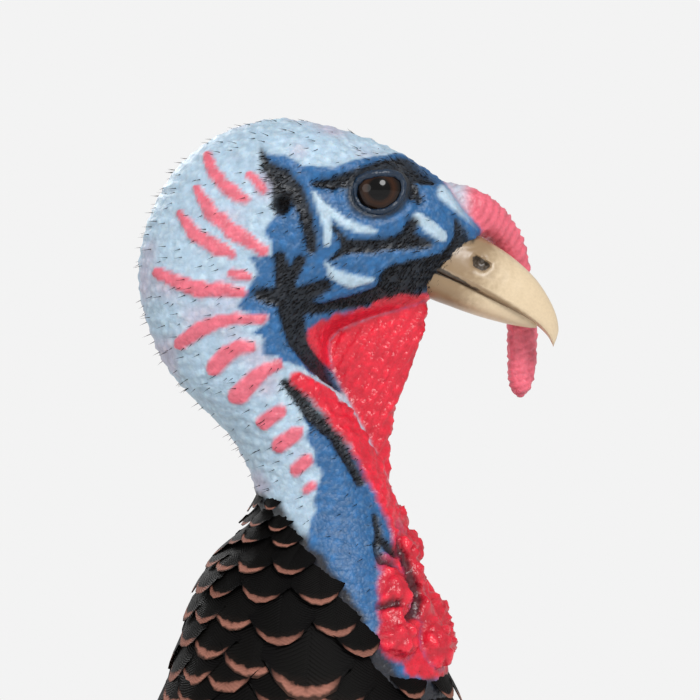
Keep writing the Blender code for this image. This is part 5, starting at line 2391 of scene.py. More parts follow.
@dataclass
class WingSheet(Surface):
    """The outer face of a folded wing, laid on the body's side.

    Along counts its stations from the wrist; round runs from 0 at the upper edge to 1 at the lower.

    Attributes:
        side: which wing.
        rows: how many places along are worked out.
        columns: how many across.
        first: the station that the net starts at.
        margin: how far the net reaches past the edges, as a share of the wing's depth.
    """

    side: Side
    rows: int = 72
    columns: int = 44
    first: float = -0.8
    margin: float = 0.22
    step = 0.04

    def __post_init__(self) -> None:
        """Works out the net of places."""
        self.hand = self.side.sign
        self.table = np.array(list(WING_STATIONS.values()))
        body = BODY.polygons(220, 120, (8.5, BODY.end))
        along = np.linspace(self.first, self.end + 0.4, self.rows)
        share = np.linspace(-self.margin, 1 + self.margin, self.columns)
        self.spans = (along[1] - along[0], share[1] - share[0])
        edge = through(self.table, along)[:, :, None]
        x, z = (mixed(edge[:, i], edge[:, i + 2], share) for i in (0, 1))
        level = np.maximum(0.0, 1 - np.abs(2 * share - 1) ** 3)
        beyond = np.maximum(0.0, np.abs(share - 0.5) - 0.5)
        rise = mixed(WING_EDGE, edge[:, 4], level) * eased(-0.5, 0.6, along)[:, None] - 30 * beyond
        middle = self.columns // 2
        self.places = np.zeros((self.rows, self.columns, 3))
        outward = (*range(middle, self.columns), *range(middle - 1, -1, -1))
        for i, j in ((i, j) for i in range(self.rows) for j in outward):
            start = placed(x[i, j], self.hand * 400.0, z[i, j])
            hit = body.ray_cast(Vector(start), Vector((0, -self.hand, 0)))[0]
            inner = self.places[i, j + (1 if j < middle else -1), 1]
            depth = hit[1] if hit and hit[1] * self.hand > 0.01 else inner * 0.9
            self.places[i, j] = (start[0], depth, start[2])
        self.places[..., 1] += self.hand * rise * MM

    def point(self, along: Array, around: Array) -> Array:
        """The places on the sheet.

        Args:
            along: stations along it.
            around: shares of the way round.

        Returns:
            Places in the model.
        """
        a = (np.asarray(along, float) - self.first) / self.spans[0]
        b = (np.asarray(around, float) + self.margin) / self.spans[1]
        i = np.clip(np.floor(a).astype(int), 0, self.rows - 2)
        j = np.clip(np.floor(b).astype(int), 0, self.columns - 2)
        s, t = (a - i)[..., None], (b - j)[..., None]
        near, far = (mixed(self.places[i, k], self.places[i + 1, k], s) for k in (j, j + 1))
        return mixed(near, far, t)

    def distance(self, start: Array, end: Array, share: Array) -> Array:
        """The way along the sheet, in mm, between two stations at a share of its depth.

        Args:
            start: the first station.
            end: the last.
            share: how far down the wing.

        Returns:
            A distance for each pair of stations.
        """
        along = mixed(start, end, np.linspace(0, 1, 25)[:, None])
        way = self.point(along, np.broadcast_to(share, along.shape))
        return np.linalg.norm(np.diff(way, axis=0), axis=-1).sum(axis=0) / MM


@dataclass(frozen=True)
class Quill:
    """A long flight feather on the folded wing.

    Attributes:
        along: the station of its root.
        depth: how far down the wing its root lies, as a share.
        turn: how far it turns from the wing's lie, in radians.
        tip: the station of its tip.
        width: in mm.
        low: its root's height over the wing's surface, in mm.
        high: its tip's height.
    """

    along: float
    depth: float
    turn: float
    tip: float
    width: float
    low: float
    high: float


# Each group: how many, the innermost, which lies on top, the outermost, how much higher their lower
# edges stand, in mm, and what their unevenness grows from.
TERTIALS = (
    5, Quill(2.5, 0.04, 0.01, 5.15, 48.0, -7.0, 1.8), Quill(2.7, 0.30, 0.0, 5.75, 44.0, -7.0, 1.0), 2.0, 61
)
SECONDARIES = (
    11, Quill(2.7, 0.34, 0.0, 5.6, 42.0, -7.0, 0.6), Quill(3.3, 0.96, -0.02, 5.85, 34.0, -8.0, -1.2), 2.2, 67
)
PRIMARIES = (
    9, Quill(4.0, 0.12, 0.0, 6.25, 27.0, -5.0, -1.6), Quill(4.1, 0.86, -0.01, 7.0, 20.0, -7.0, -2.6), 1.8, 71
)


@dataclass
class Wing:
    """One folded wing: the coverts, the inner secondaries, the barred secondaries and the primaries.

    Attributes:
        side: which wing.
        small: the width of the coverts at the wrist, in mm.
        large: the width of the greater coverts, in mm.
        row_gap: the distance between the coverts' rows as a share of their width.
        last_row: the station where the coverts' last row has its roots.
        slant: how many stations further back the coverts' rows reach at the lower edge.
        scapular_ranks: how many ranks of shoulder feathers there are.
        scapular_count: how many feathers a rank has.
        scapular_width: the first one's width and the last one's, in mm.
        scapular_length: the same for their length.
    """

    side: Side
    small: float = 15.0
    large: float = 33.0
    row_gap: float = 0.56
    last_row: float = 3.0
    slant: float = 0.8
    scapular_ranks: int = 4
    scapular_count: int = 22
    scapular_width: Span = (26.0, 33.0)
    scapular_length: Span = (40.0, 62.0)

    def __post_init__(self) -> None:
        """Lays the wing's sheet on the body."""
        self.sheet = WingSheet(self.side)

    def plumage(self, along: Array, around: Array, *measures: Array | float) -> Plumage:
        """Feathers on this wing, with the sheen of where they grow."""
        return Plumage(self.sheet, along, around, *measures, sheen_at(self.sheet.point(along, around)))

    def coverts(self) -> Form:
        """The coverts, in rows that grow from the wrist back, and the shoulder feathers.

        Returns:
            The feathers, with their maps and values.
        """
        rng = np.random.default_rng(51)
        sheet, station, row, cells = self.sheet, -0.35, 0, []
        while station < self.last_row:
            progress = np.clip(station / self.last_row, 0.0, 1.0)
            width = mixed(self.small, self.large, progress)
            depth = max(np.linalg.norm(sheet.point(station, 1.0) - sheet.point(station, 0.0)) / MM, 40.0)
            pace = np.linalg.norm(sheet.point(station + 0.1, 0.5) - sheet.point(station, 0.5)) / 0.1 / MM
            count = int(round(depth * 1.4 / width)) + 1
            for share in (np.arange(count) + 0.25 + 0.5 * (row % 2)) / count:
                cells.append((station + self.slant * progress * share, share, width))
            station += self.row_gap * width / pace
            row += 1
        along, around, width = np.array(cells).T
        count = len(along)
        along = along + rng.uniform(-0.01, 0.01, count)
        around = around + rng.uniform(-0.008, 0.008, count)
        behind = along - self.slant * along / self.last_row * around
        last = eased(self.last_row - 0.75, self.last_row - 0.1, behind)
        length = self.row_gap * width * 2.3 * rng.uniform(0.95, 1.06, count) * (1 + 0.9 * last)
        width, twist = width * rng.uniform(0.95, 1.06, count), rng.uniform(-0.06, 0.06, count)
        coat = self.plumage(along, around, length, width, -3.0, 0.6, twist, 0.8)
        return Form.joined([coat.form(Vane(), 53), self.scapulars()])

    def scapulars(self) -> Form:
        """The shoulder feathers, which grow from the back and hide the wing's upper edge.

        Returns:
            The feathers, with their maps and values.
        """
        rng = np.random.default_rng(57)
        hand = self.side.sign
        top = self.scapular_ranks - 1
        order, column = (v.ravel() for v in net(np.arange(top + 1), np.arange(self.scapular_count)))
        station, row = 0.1 + (column + 0.5 * (order % 2)) * 0.24, top - order
        far = column / self.scapular_count
        count = len(station)
        edge = self.sheet.point(station, np.full(count, 0.05))
        along, around = BODY.located(edge, BODY.end)
        around = around - hand * (0.004 + 0.011 * row) + rng.uniform(-0.002, 0.002, count)
        width = mixed(*self.scapular_width, far) * rng.uniform(0.95, 1.08, count)
        length = mixed(*self.scapular_length, far) * rng.uniform(0.95, 1.06, count)
        low, high = mixed(2.0, -2.0, row / top), mixed(7.4, 3.4, row / top) + rng.uniform(-0.3, 0.5, count)
        twist = hand * (0.16 + rng.uniform(-0.05, 0.05, count))
        coat = Plumage(BODY, along, around, length, width, low, high, twist, hand * 2.0, sheen_at(edge))
        return coat.form(Vane(along=8, rounding=0.22, squareness=2.5, camber=1.4), 59)

    def quills(self, count: int, inmost: Quill, outmost: Quill, tilt: float, seed: int) -> Form:
        """Long flight feathers stacked from the innermost, which lies on top, to the outermost.

        Args:
            count: how many.
            inmost: the innermost.
            outmost: the outermost.
            tilt: how much higher their lower edges stand, in mm.
            seed: what their unevenness grows from.

        Returns:
            The feathers, with their maps and values.
        """
        rank = np.linspace(0.0, 1.0, count)
        ends = zip(astuple(inmost), astuple(outmost))
        along, around, twist, _, width, low, high = (mixed(a, b, rank) for a, b in ends)
        length = self.sheet.distance(along, mixed(inmost.tip, outmost.tip, rank**0.8), around)
        coat = self.plumage(along, around, length, width, low, high, twist, tilt)
        return coat.form(LONG_VANE, seed, patch=None)

    def build(self, finishes: Sequence[Material]) -> None:
        """Makes the wing's pieces.

        Args:
            finishes: those of the coverts, the inner secondaries, the secondaries and the primaries.
        """
        pieces = (
            ("covert_feathers", self.coverts(), "wing_coverts", Slot.BRONZE),
            ("inner_secondaries", self.quills(*TERTIALS), "", Slot.BRONZE),
            ("secondaries", self.quills(*SECONDARIES), "wing_secondaries", Slot.BARRED),
            ("primaries", self.quills(*PRIMARIES), "wing_primaries", Slot.BARRED),
        )
        for (name, form, node, slot), finish in zip(pieces, finishes):
            nodes = [f"{node}_{self.side}"] if node else []
            piece(f"{name}_{self.side}", form, finish, nodes)


@dataclass
class TailSheet(Surface):
    """The arched upper or under side of the closed tail; along and round are both in units of 100 mm.

    Attributes:
        under: whether it is the under side.
        root: where the tail leaves the rump, forward and up in mm.
        slope: how far it slopes down, in radians.
        reach: its length, in mm.
    """

    under: bool = False
    root: tuple[float, float] = (-372.0, 390.0)
    slope: float = math.radians(24)
    reach: float = 266.0

    def __post_init__(self) -> None:
        """Sets which way it faces."""
        self.hand = -1 if self.under else 1

    def point(self, along: Array, around: Array) -> Array:
        """The places on the sheet.

        Args:
            along: stations along it.
            around: shares of the way round.

        Returns:
            Places in the model.
        """
        far, aside = np.asarray(along, float) * 100, np.asarray(around, float) * 100
        share = far / self.reach
        drop = mixed(16.0, 26.0, share) * (aside / 74.0) ** 2
        height = self.hand * mixed(12.0, 4.5, share) - drop
        x = self.root[0] - far * math.cos(self.slope) + height * math.sin(self.slope)
        z = self.root[1] - far * math.sin(self.slope) + height * math.cos(self.slope)
        return np.stack([x - MIDDLE_X, aside, z], axis=-1) * MM


@dataclass
class Tail:
    """The closed tail: eighteen quills, the middle pair on top, and the coverts over and under them.

    Attributes:
        pairs: how many quills each side has.
        reach: the length of the middle pair, in mm.
        width: how wide a quill is, in mm.
        spread: how far the outermost pair turns out, in radians.
        stack: how much lower each pair lies than the one over it, at the root and at the tip, in mm.
        ranks: the coverts' ranks: whether it is under the tail, where its roots lie, its feathers'
            length and width in mm, how many they are, and their height in mm.
    """

    pairs: int = 9
    reach: float = 264.0
    width: float = 44.0
    spread: float = 0.145
    stack: Span = (1.3, 0.85)
    ranks: tuple[tuple[bool, float, float, float, int, float], ...] = (
        (False, 0.62, 98.0, 34.0, 9, 1.6), (False, 0.36, 94.0, 34.0, 8, 2.8),
        (False, 0.12, 92.0, 36.0, 9, 4.0), (True, 0.42, 92.0, 34.0, 9, 1.2), (True, 0.12, 92.0, 36.0, 8, 2.6),
    )

    def quills(self) -> Form:
        """The eighteen tail quills.

        Returns:
            The feathers, with their maps and values.
        """
        rank = np.repeat(np.arange(self.pairs), 2).astype(float)
        side = np.tile((-1.0, 1.0), self.pairs)
        share = (rank + 0.5) / self.pairs
        coat = Plumage(
            TailSheet(), np.full(len(rank), 0.02), side * (0.03 + 0.14 * share), self.reach - 0.34 * rank**2,
            self.width, -2.0 - self.stack[0] * rank, -0.2 - self.stack[1] * rank,
            side * self.spread * share, side * -1.2,
        )
        vane = Vane(8, 26, root=0.45, rounding=0.075, squareness=2.2, camber=1.6, thickness=0.8, fray=0.003)
        return coat.form(vane, 73, patch=None)

    def coverts(self) -> Form:
        """Ranks of long coverts over the tail and under it.

        Returns:
            The feathers, with their maps and values.
        """
        rng = np.random.default_rng(79)
        made = []
        for under, start, length, width, count, lift in self.ranks:
            across = np.linspace(-0.44, 0.44, count)
            jitter = rng.uniform(-1, 1, (3, count))
            coat = Plumage(
                TailSheet(under=under), start + 0.03 * jitter[0], across + 0.01 * jitter[1],
                length * (1 - 0.35 * across**2) + 3 * jitter[2], width, lift - 1.0, lift + 0.5, across * 0.22,
                sheen=linear(Sheen.ROSE),
            )
            made.append(coat.form(Vane(along=10, root=0.5, squareness=2.3, camber=1.5), 83))
        return Form.joined(made)

    def build(self) -> None:
        """Makes the tail's pieces."""
        piece("tail_quills", self.quills(), TAIL_VANE.material(), ["tail"])
        piece("tail_coverts", self.coverts(), TAIL_COVERT_VANE.material(), [])


# ---- Legs ----------------------------------------------------------------------------------------


@dataclass
class Toe:
    """One toe: its path from the pad to the claw, with its radii, laid out from the foot.

    Attributes:
        path: places (forward, outward, up) in mm.
        radii: in mm.
        claw: the claw's places.
        claw_radii: the claw's radii.
    """

    path: tuple[Point, ...]
    radii: tuple[float, ...]
    claw: tuple[Point, ...]
    claw_radii: tuple[float, ...]

    @classmethod
    def front(cls, angle: float, length: float, radius: float, start: float = 11.0) -> "Toe":
        """A toe that points forward.

        Args:
            angle: how far it turns out, in degrees.
            length: from the foot's middle to its claw, in mm.
            radius: at its first joint, in mm.
            start: how far from the foot's middle it begins, in mm.

        Returns:
            The toe.
        """
        turn = math.radians(angle)

        def at(far: float, up: float) -> Point:
            """A place on the toe's line."""
            return (far * math.cos(turn), far * math.sin(turn), up)

        widths = (0.86, 1.0, 0.92, 0.9, 0.68)
        knuckles = (mixed(start, length, share) for share in (0.0, 0.25, 0.5, 0.75, 1.0))
        path = tuple(at(far, radius * width * 0.82) for far, width in zip(knuckles, widths))
        curve = ((-2.7, 3.1), (0.3, 3.3), (6.8, 4.2), (12.3, 3.2), (16.3, 0.9))
        claw = tuple(at(length + far, up) for far, up in curve)
        return cls(path, tuple(radius * width for width in widths), claw, (2.9, 3.3, 2.9, 1.9, 0.45))


MIDDLE_TOE = 90.0
TOES = {
    "inner": Toe.front(-34.0, 0.76 * MIDDLE_TOE, 5.5),
    "middle": Toe.front(2.0, MIDDLE_TOE, 6.0),
    "outer": Toe.front(39.0, 0.8 * MIDDLE_TOE, 5.5),
    "hind": Toe(
        ((-8.0, 0.0, 12.0), (-20.0, -3.0, 10.0), (-31.0, -6.0, 5.6), (-39.0, -8.0, 3.4)),
        (5.2, 5.0, 4.6, 3.7),
        (
            (-36.5, -7.3, 3.4), (-39.0, -8.0, 3.6), (-45.0, -9.5, 3.9), (-50.5, -11.0, 2.6),
            (-54.0, -12.0, 0.8),
        ),
        (2.6, 2.9, 2.5, 1.6, 0.45),
    ),
}


@dataclass
class Leg:
    """One leg below the feathers: the shank, the foot and its toes, with scales, claws and a spur.

    Attributes:
        side: which leg.
        voxel: the size of the skin's faces, in mm.
        pad_radius: the foot pad's radius, in mm.
        pad_height: the foot pad's height, in mm.
        spur_place: how far up the shank the spur stands, as a share.
        wart_rise: how high the warts of its skin stand, in mm.
        sole: up to which height it is flat on the floor, in mm.
        shank_stations: how far from the ankle to the hock each lies, as a share, and its radius in mm.
        pad_levels: the foot pad's rings, as shares of its radius and its height.
        spur_sweep: the spur's path from its root: forward, outward and up, in mm.
        spur_radii: its radii, in mm.
    """

    side: Side
    voxel: float = 1.5
    pad_radius: float = 18.0
    pad_height: float = 19.0
    spur_place: float = 0.42
    wart_rise: float = 0.35
    sole: float = 0.9
    shank_stations: tuple[Span, ...] = (
        (-0.02, 9.6), (0.22, 8.0), (0.5, 7.4), (0.86, 8.8), (1.0, 11.2), (1.12, 9.0)
    )
    pad_levels: tuple[Span, ...] = ((0.86, 0.0), (1.0, 0.16), (1.0, 0.45), (0.9, 0.75), (0.62, 1.0))
    spur_sweep: tuple[Point, ...] = (
        (4.0, 2.0, 0.5), (0, 0, 0), (-11.0, -6.0, -1.0), (-21.0, -10.0, 2.0), (-29.0, -12.0, 8.0)
    )
    spur_radii: Row = (5.4, 5.6, 4.8, 3.2, 0.6)

    def __post_init__(self) -> None:
        """Lays out the shank and the toes."""
        self.ankle = self.at(-3.0, 0.0, 12.0)
        self.hock = self.at(-40.0, 4.0, HOCK_HEIGHT, 0.65)
        path = [mixed(self.ankle, self.hock, share) for share, _ in self.shank_stations]
        self.shank = Tube(path, [radius for _, radius in self.shank_stations])
        self.toes = {
            name: Tube([self.at(*p) for p in toe.path], toe.radii, flat=0.95, floor=0.0)
            for name, toe in TOES.items()
        }

    def at(self, *measures: float) -> Array:
        """A place on this leg."""
        return leg_point(self.side, *measures)

    def skin(self) -> Form:
        """The skin of the shank and foot, flat where it stands.

        Returns:
            A closed form, with its values and bake map.
        """
        sized = [(share * self.pad_radius, up * self.pad_height) for share, up in self.pad_levels]
        circle = [(math.cos(a), math.sin(a)) for a in turns(32)]
        rings = np.array([[self.at(r * x, r * y, up) for x, y in circle] for r, up in sized])
        parts = [Form.from_rings(rings[:, :: -self.side.sign]), self.shank.form(60, 28)]
        skin = Form.joined([*parts, *(toe.form(40, 20) for toe in self.toes.values())]).blended(self.voxel, 3)
        warts = pebbles(skin.points, 2.6, 21)
        skin.points = skin.points + skin.normals() * ((warts - 0.5) * self.wart_rise * MM)[:, None]
        height = skin.points[:, 2] / MM
        skin.points[:, 2] = np.where(height < self.sole, 0.0, height) * MM
        feathered = eased(HOCK_HEIGHT - 8.0, HOCK_HEIGHT + 4.0, height)
        sole = eased(2.5, 0.8, height) * 0.7
        skin.skinned(layered(Hue.SCUTE_EDGE, (Hue.SCUTE, warts), (Hue.SOLE, sole), (Hue.DOWN, feathered)))
        local = skin.points - self.at(-3.0, 0.0, 0.0)
        away = np.hypot(local[:, 0], local[:, 1]) / MM / 110.0
        on_foot, on_shank = 0.45 * (1 - np.clip(away, 0, 1)), 0.45 + 0.55 * np.clip(height / 190.0, 0, 1)
        along = mixed(on_shank, on_foot, eased(24.0, 16.0, height))
        around = np.arctan2(local[:, 1], local[:, 0]) / TAU
        skin.face_maps["OFBake"] = skin.chart(along, around, LEG_BOXES[self.side])
        return skin

    def scales(self) -> Form:
        """The horny scales: plates over the ankle, down the shank and across each toe.

        Returns:
            The plates, with their maps and values.
        """
        plate = Vane(4, 4, root=0.85, full=0.3, rounding=0.16, camber=0.15, thickness=0.5, fray=0.01)
        radii = (8.0, 12.4, 16.6, 18.3, 18.3, 17.0)
        dome = Tube([self.at(-1.0, 0.0, up) for up in (24.0, 18.5, 13.5, 8.0, 3.0, 0.0)], radii)
        down = Tube(self.shank.path[::-1], self.shank.radii[::-1])
        # Each: the surface, the rows' stations, the plates' places round it, a plate's width as a share
        # of the way round, and a seed.
        laid = [
            (dome, np.arange(0.35, 4.3, 0.42), np.arange(16) / 16, 1.14 / 16, 99),
            (down, np.arange(0.9, 4.85, 0.115), np.arange(6) / 6, 1.12 / 6, 91),
        ]
        for name, toe in self.toes.items():
            step = 3.4 / (12.0 if name == "hind" else 78.0 / toe.end)
            rows = np.arange(0.12, toe.end - 0.05, step)
            laid.append((toe, rows, np.zeros(1), 0.34, 93))
            for turn, seed in ((-0.235, 95), (0.235, 97)):
                laid.append((toe, rows[::2], np.full(1, turn), 0.20, seed))
        rng = np.random.default_rng(89)
        made = []
        for surface, rows, columns, wide, seed in laid:
            along, around = staggered(rows, columns, columns[1] - columns[0] if len(columns) > 1 else 0.0)
            pace, swing = surface.paces(along, around)
            length = 1.5 * abs(rows[1] - rows[0]) * pace * rng.uniform(0.96, 1.04, len(along))
            high = 0.75 + 0.1 * rng.uniform(-1, 1, len(along))
            made.append(Plumage(surface, along, around, length, swing * wide, 0.05, high).form(plate, seed))
        return Form.joined(made)

    @staticmethod
    def horn(tube: Tube, rows: int, columns: int) -> Form:
        """A horny tube with faint rings, and how far along each corner lies.

        Args:
            tube: its surface.
            rows: how many rings it has.
            columns: how many corners a ring has.

        Returns:
            A closed form.
        """
        along, around = tube.grid(0.0, tube.end, rows, columns)
        far = along / tube.end
        form = Form.from_rings(tube.lifted(along, around, 0.10 * np.sin(far * 60.0) * eased(0.9, 0.5, far)))
        form.points[:, 2] = np.maximum(form.points[:, 2], 0.0)
        form.values["Far"] = far.ravel()
        return form

    def build(self, scale: Material, horn: Material) -> None:
        """Makes the scales, the claws, and the spur, swept back and up, in the finishes given.

        Args:
            scale: the scales' finish.
            horn: the claws' and the spur's.
        """
        side = self.side
        piece(f"leg_scales_{side}", self.scales(), scale, [])
        for name, toe in TOES.items():
            claw = self.horn(Tube([self.at(*p) for p in toe.claw], toe.claw_radii, floor=0.0), 30, 20)
            piece(f"talon_{name}_{side}", claw, horn, [f"claw_{name}_{side}"], crisp=0)
        root = mixed(self.ankle, self.hock, self.spur_place)
        path = [root + np.array((x, side.sign * y, z)) * MM for x, y, z in self.spur_sweep]
        spur = self.horn(Tube(path, self.spur_radii), 36, 24)
        piece(f"leg_spur_{side}", spur, horn, [f"spur_{side}"], crisp=0)


@dataclass(frozen=True)
class ScaleFinish:
    """Leg scales: hard smooth keratin over pink skin, paler in the middle and dark in the joints."""

    def material(self) -> Material:
        """The finish as a material.

        Returns:
            The new material.
        """
        made = Recipe("horny leg scale", Specular_IOR_Level=0.5, Coat_Weight=0.1, Coat_Roughness=0.3)
        aside, along = made.vane_place()
        tone = made.attribute("Tone")
        edge = made.maths("MAXIMUM", made.maths("POWER", aside, 6.0), made.maths("POWER", along, 7.0))
        grain = made.noise(1.4)
        face = made.blend(made.maths("MULTIPLY", tone, 0.6), Hue.SCUTE, "CE8A7E")
        face = made.blend(made.maths("MULTIPLY", grain, 0.35), face, Hue.SCUTE_EDGE)
        colour = made.blend(made.maths("MULTIPLY", edge, 0.8), face, Hue.SCUTE_EDGE)
        made.bump(grain, 0.15, 0.6)
        return made.drive(Base_Color=colour, Roughness=made.maths("MULTIPLY_ADD", grain, 0.2, 0.32))


# How high the hidden skin lies over the surface that the feathers lie on, in mm; the wings' has two faces.
TRUNK_SKIN, THIGH_SKIN, WING_SKIN = -6.0, -4.0, (-5.0, -16.0)


def hidden_skin(wings: Sequence[Wing]) -> list[Form]:
    """The skin under the feathers, of the trunk, thighs and wings, dark as down.

    Args:
        wings: the wings, right and left.

    Returns:
        Closed forms, each with its part of the bake map.
    """
    left, low, right, top = HIDDEN_BOX
    wide = (right - left) / 5
    boxes = [(left + k * wide, low, left + (k + 0.96) * wide, top) for k in range(5)]
    made = [BODY.form(80, 64, (9.55, PLACES["covert tips"] + 0.1), TRUNK_SKIN, boxes[0])]
    made += [thigh_surface(side).form(30, 32, None, THIGH_SKIN, box) for side, box in zip(Side, boxes[1:])]
    along, around = net(np.linspace(-0.1, 6.3, 48), np.linspace(0.05, 0.95, 22))
    for wing, box in zip(wings, boxes[3:]):
        outer, inner = (wing.sheet.lifted(along, around, lift) for lift in WING_SKIN)
        rings = np.concatenate([outer, inner[:, ::-1]], axis=1)[:, :: wing.sheet.hand]
        form = Form.from_rings(rings)
        far, turn = net(*(np.arange(count) / count for count in rings.shape[:2]))
        form.face_maps["OFBake"] = form.chart(far.ravel(), turn.ravel(), box)
        made.append(form)
    return [form.skinned(linear(Hue.DOWN)) for form in made]


# ---- Bristles and beard, grown by Geometry Nodes -------------------------------------------------


class Growth(Wiring):
    """A Geometry Nodes tree in the making, and its use on one mesh."""

    def __init__(self, name: str, inputs: dict[str, float | int | Material]) -> None:
        """Starts a tree.

        Args:
            name: what it grows.
            inputs: each size's name and value, and the Finish.
        """
        self.tree = bpy.data.node_groups.new(name, "GeometryNodeTree")
        self.values = {}
        socket = self.tree.interface.new_socket
        socket(name="Geometry", in_out="INPUT", socket_type="NodeSocketGeometry")
        for label, value in inputs.items():
            kind = "Material" if isinstance(value, Material) else type(value).__name__.title()
            made = socket(name=label, in_out="INPUT", socket_type=f"NodeSocket{kind}")
            self.values[made.identifier] = value
        socket(name="Geometry", in_out="OUTPUT", socket_type="NodeSocketGeometry")
        self.given = self.tree.nodes.new("NodeGroupInput").outputs

    def made(self, kind: str, inputs: dict | None = None, **settings: object) -> Socket:
        """The first output of a new node."""
        return self.add(kind, inputs, **settings).outputs[0]

    def drawn(self, low: Point, high: Point, seed: object, number: Socket | None = None) -> Socket:
        """A random vector between two, from a seed and, where given, each item's number."""
        inputs = {0: low, 1: high, "Seed": seed} | ({"ID": number} if number else {})
        return self.made("FunctionNodeRandomValue", inputs, data_type="FLOAT_VECTOR")

    def grown(self, form: Form, geometry: Socket) -> Form:
        """Ends the tree in real mesh of its finish, and applies it to a form.

        Args:
            form: what it grows on.
            geometry: what the nodes make.

        Returns:
            The grown mesh.
        """
        real = self.made("GeometryNodeRealizeInstances", {0: geometry})
        dressed = self.made("GeometryNodeSetMaterial", {0: real, "Material": self.given["Finish"]})
        self.add("NodeGroupOutput", {0: dressed})
        return Form.grown(form, "NODES", {"node_group": self.tree, **self.values})


@dataclass
class Bristles:
    """The sparse black hair-like feathers of the head, thickest in its creases.

    Attributes:
        each_cm2: how many grow on a square centimetre where they are thickest.
        length: in mm.
        radius: in mm at the root.
        lean: how far they lie back against standing out.
        seed: what their places grow from.
        corners: how many corners one has.
    """

    each_cm2: float = 130.0
    length: float = 2.5
    radius: float = 0.13
    lean: float = 1.5
    seed: int = 3
    corners: int = 7

    def build(self, skin: Form, finish: Material) -> None:
        """Grows the bristles on the skin.

        Args:
            skin: the whole skin.
            finish: their material.
        """
        sizes = {"Density": self.each_cm2 * 1e4, "Length": self.length * MM, "Radius": self.radius * MM}
        tree = Growth("Head bristles", sizes | {"Lean": self.lean, "Seed": self.seed, "Finish": finish})
        given = tree.given
        seed = given["Seed"]
        thick = tree.made("GeometryNodeInputNamedAttribute", {"Name": "Bristle"}, data_type="FLOAT")
        density = tree.maths("MULTIPLY", thick, given["Density"])
        ground = {"Mesh": given["Geometry"], "Density": density, "Seed": seed}
        places = tree.add("GeometryNodeDistributePointsOnFaces", ground, distribute_method="RANDOM").outputs
        cone = {"Vertices": 3, "Side Segments": 2, "Radius Top": 0.0, "Radius Bottom": given["Radius"]}
        bristle = tree.made("GeometryNodeMeshCone", cone | {"Depth": given["Length"]})
        lie = tree.vector("SCALE", tree.drawn((-1.1, -0.3, -0.9), (-0.6, 0.3, -0.1), seed), given["Lean"])
        way = tree.vector("ADD", places["Normal"], lie)
        turned = tree.made("FunctionNodeAlignRotationToVector", {"Vector": way}, axis="Z")
        size = tree.drawn((0.8, 0.8, 0.5), (1.1, 1.1, 1.2), seed)
        each = {"Points": places["Points"], "Instance": bristle, "Rotation": turned, "Scale": size}
        form = tree.grown(skin, tree.made("GeometryNodeInstanceOnPoints", each))
        along, around = BODY.located(form.points.reshape(-1, self.corners, 3).mean(axis=1), NECK_END)
        root = np.stack([0.01 + 0.98 * around, 0.01 + 0.98 * np.clip(along / NECK_END, 0, 1)], axis=-1)
        turn = turns(self.corners)
        patch = np.stack([np.cos(turn), np.sin(turn)], axis=-1) * 0.0015
        form.maps["OFBake"] = (root[:, None] + patch[None]).reshape(-1, 2)
        piece("head_bristles", form, finish, [], crisp=0)


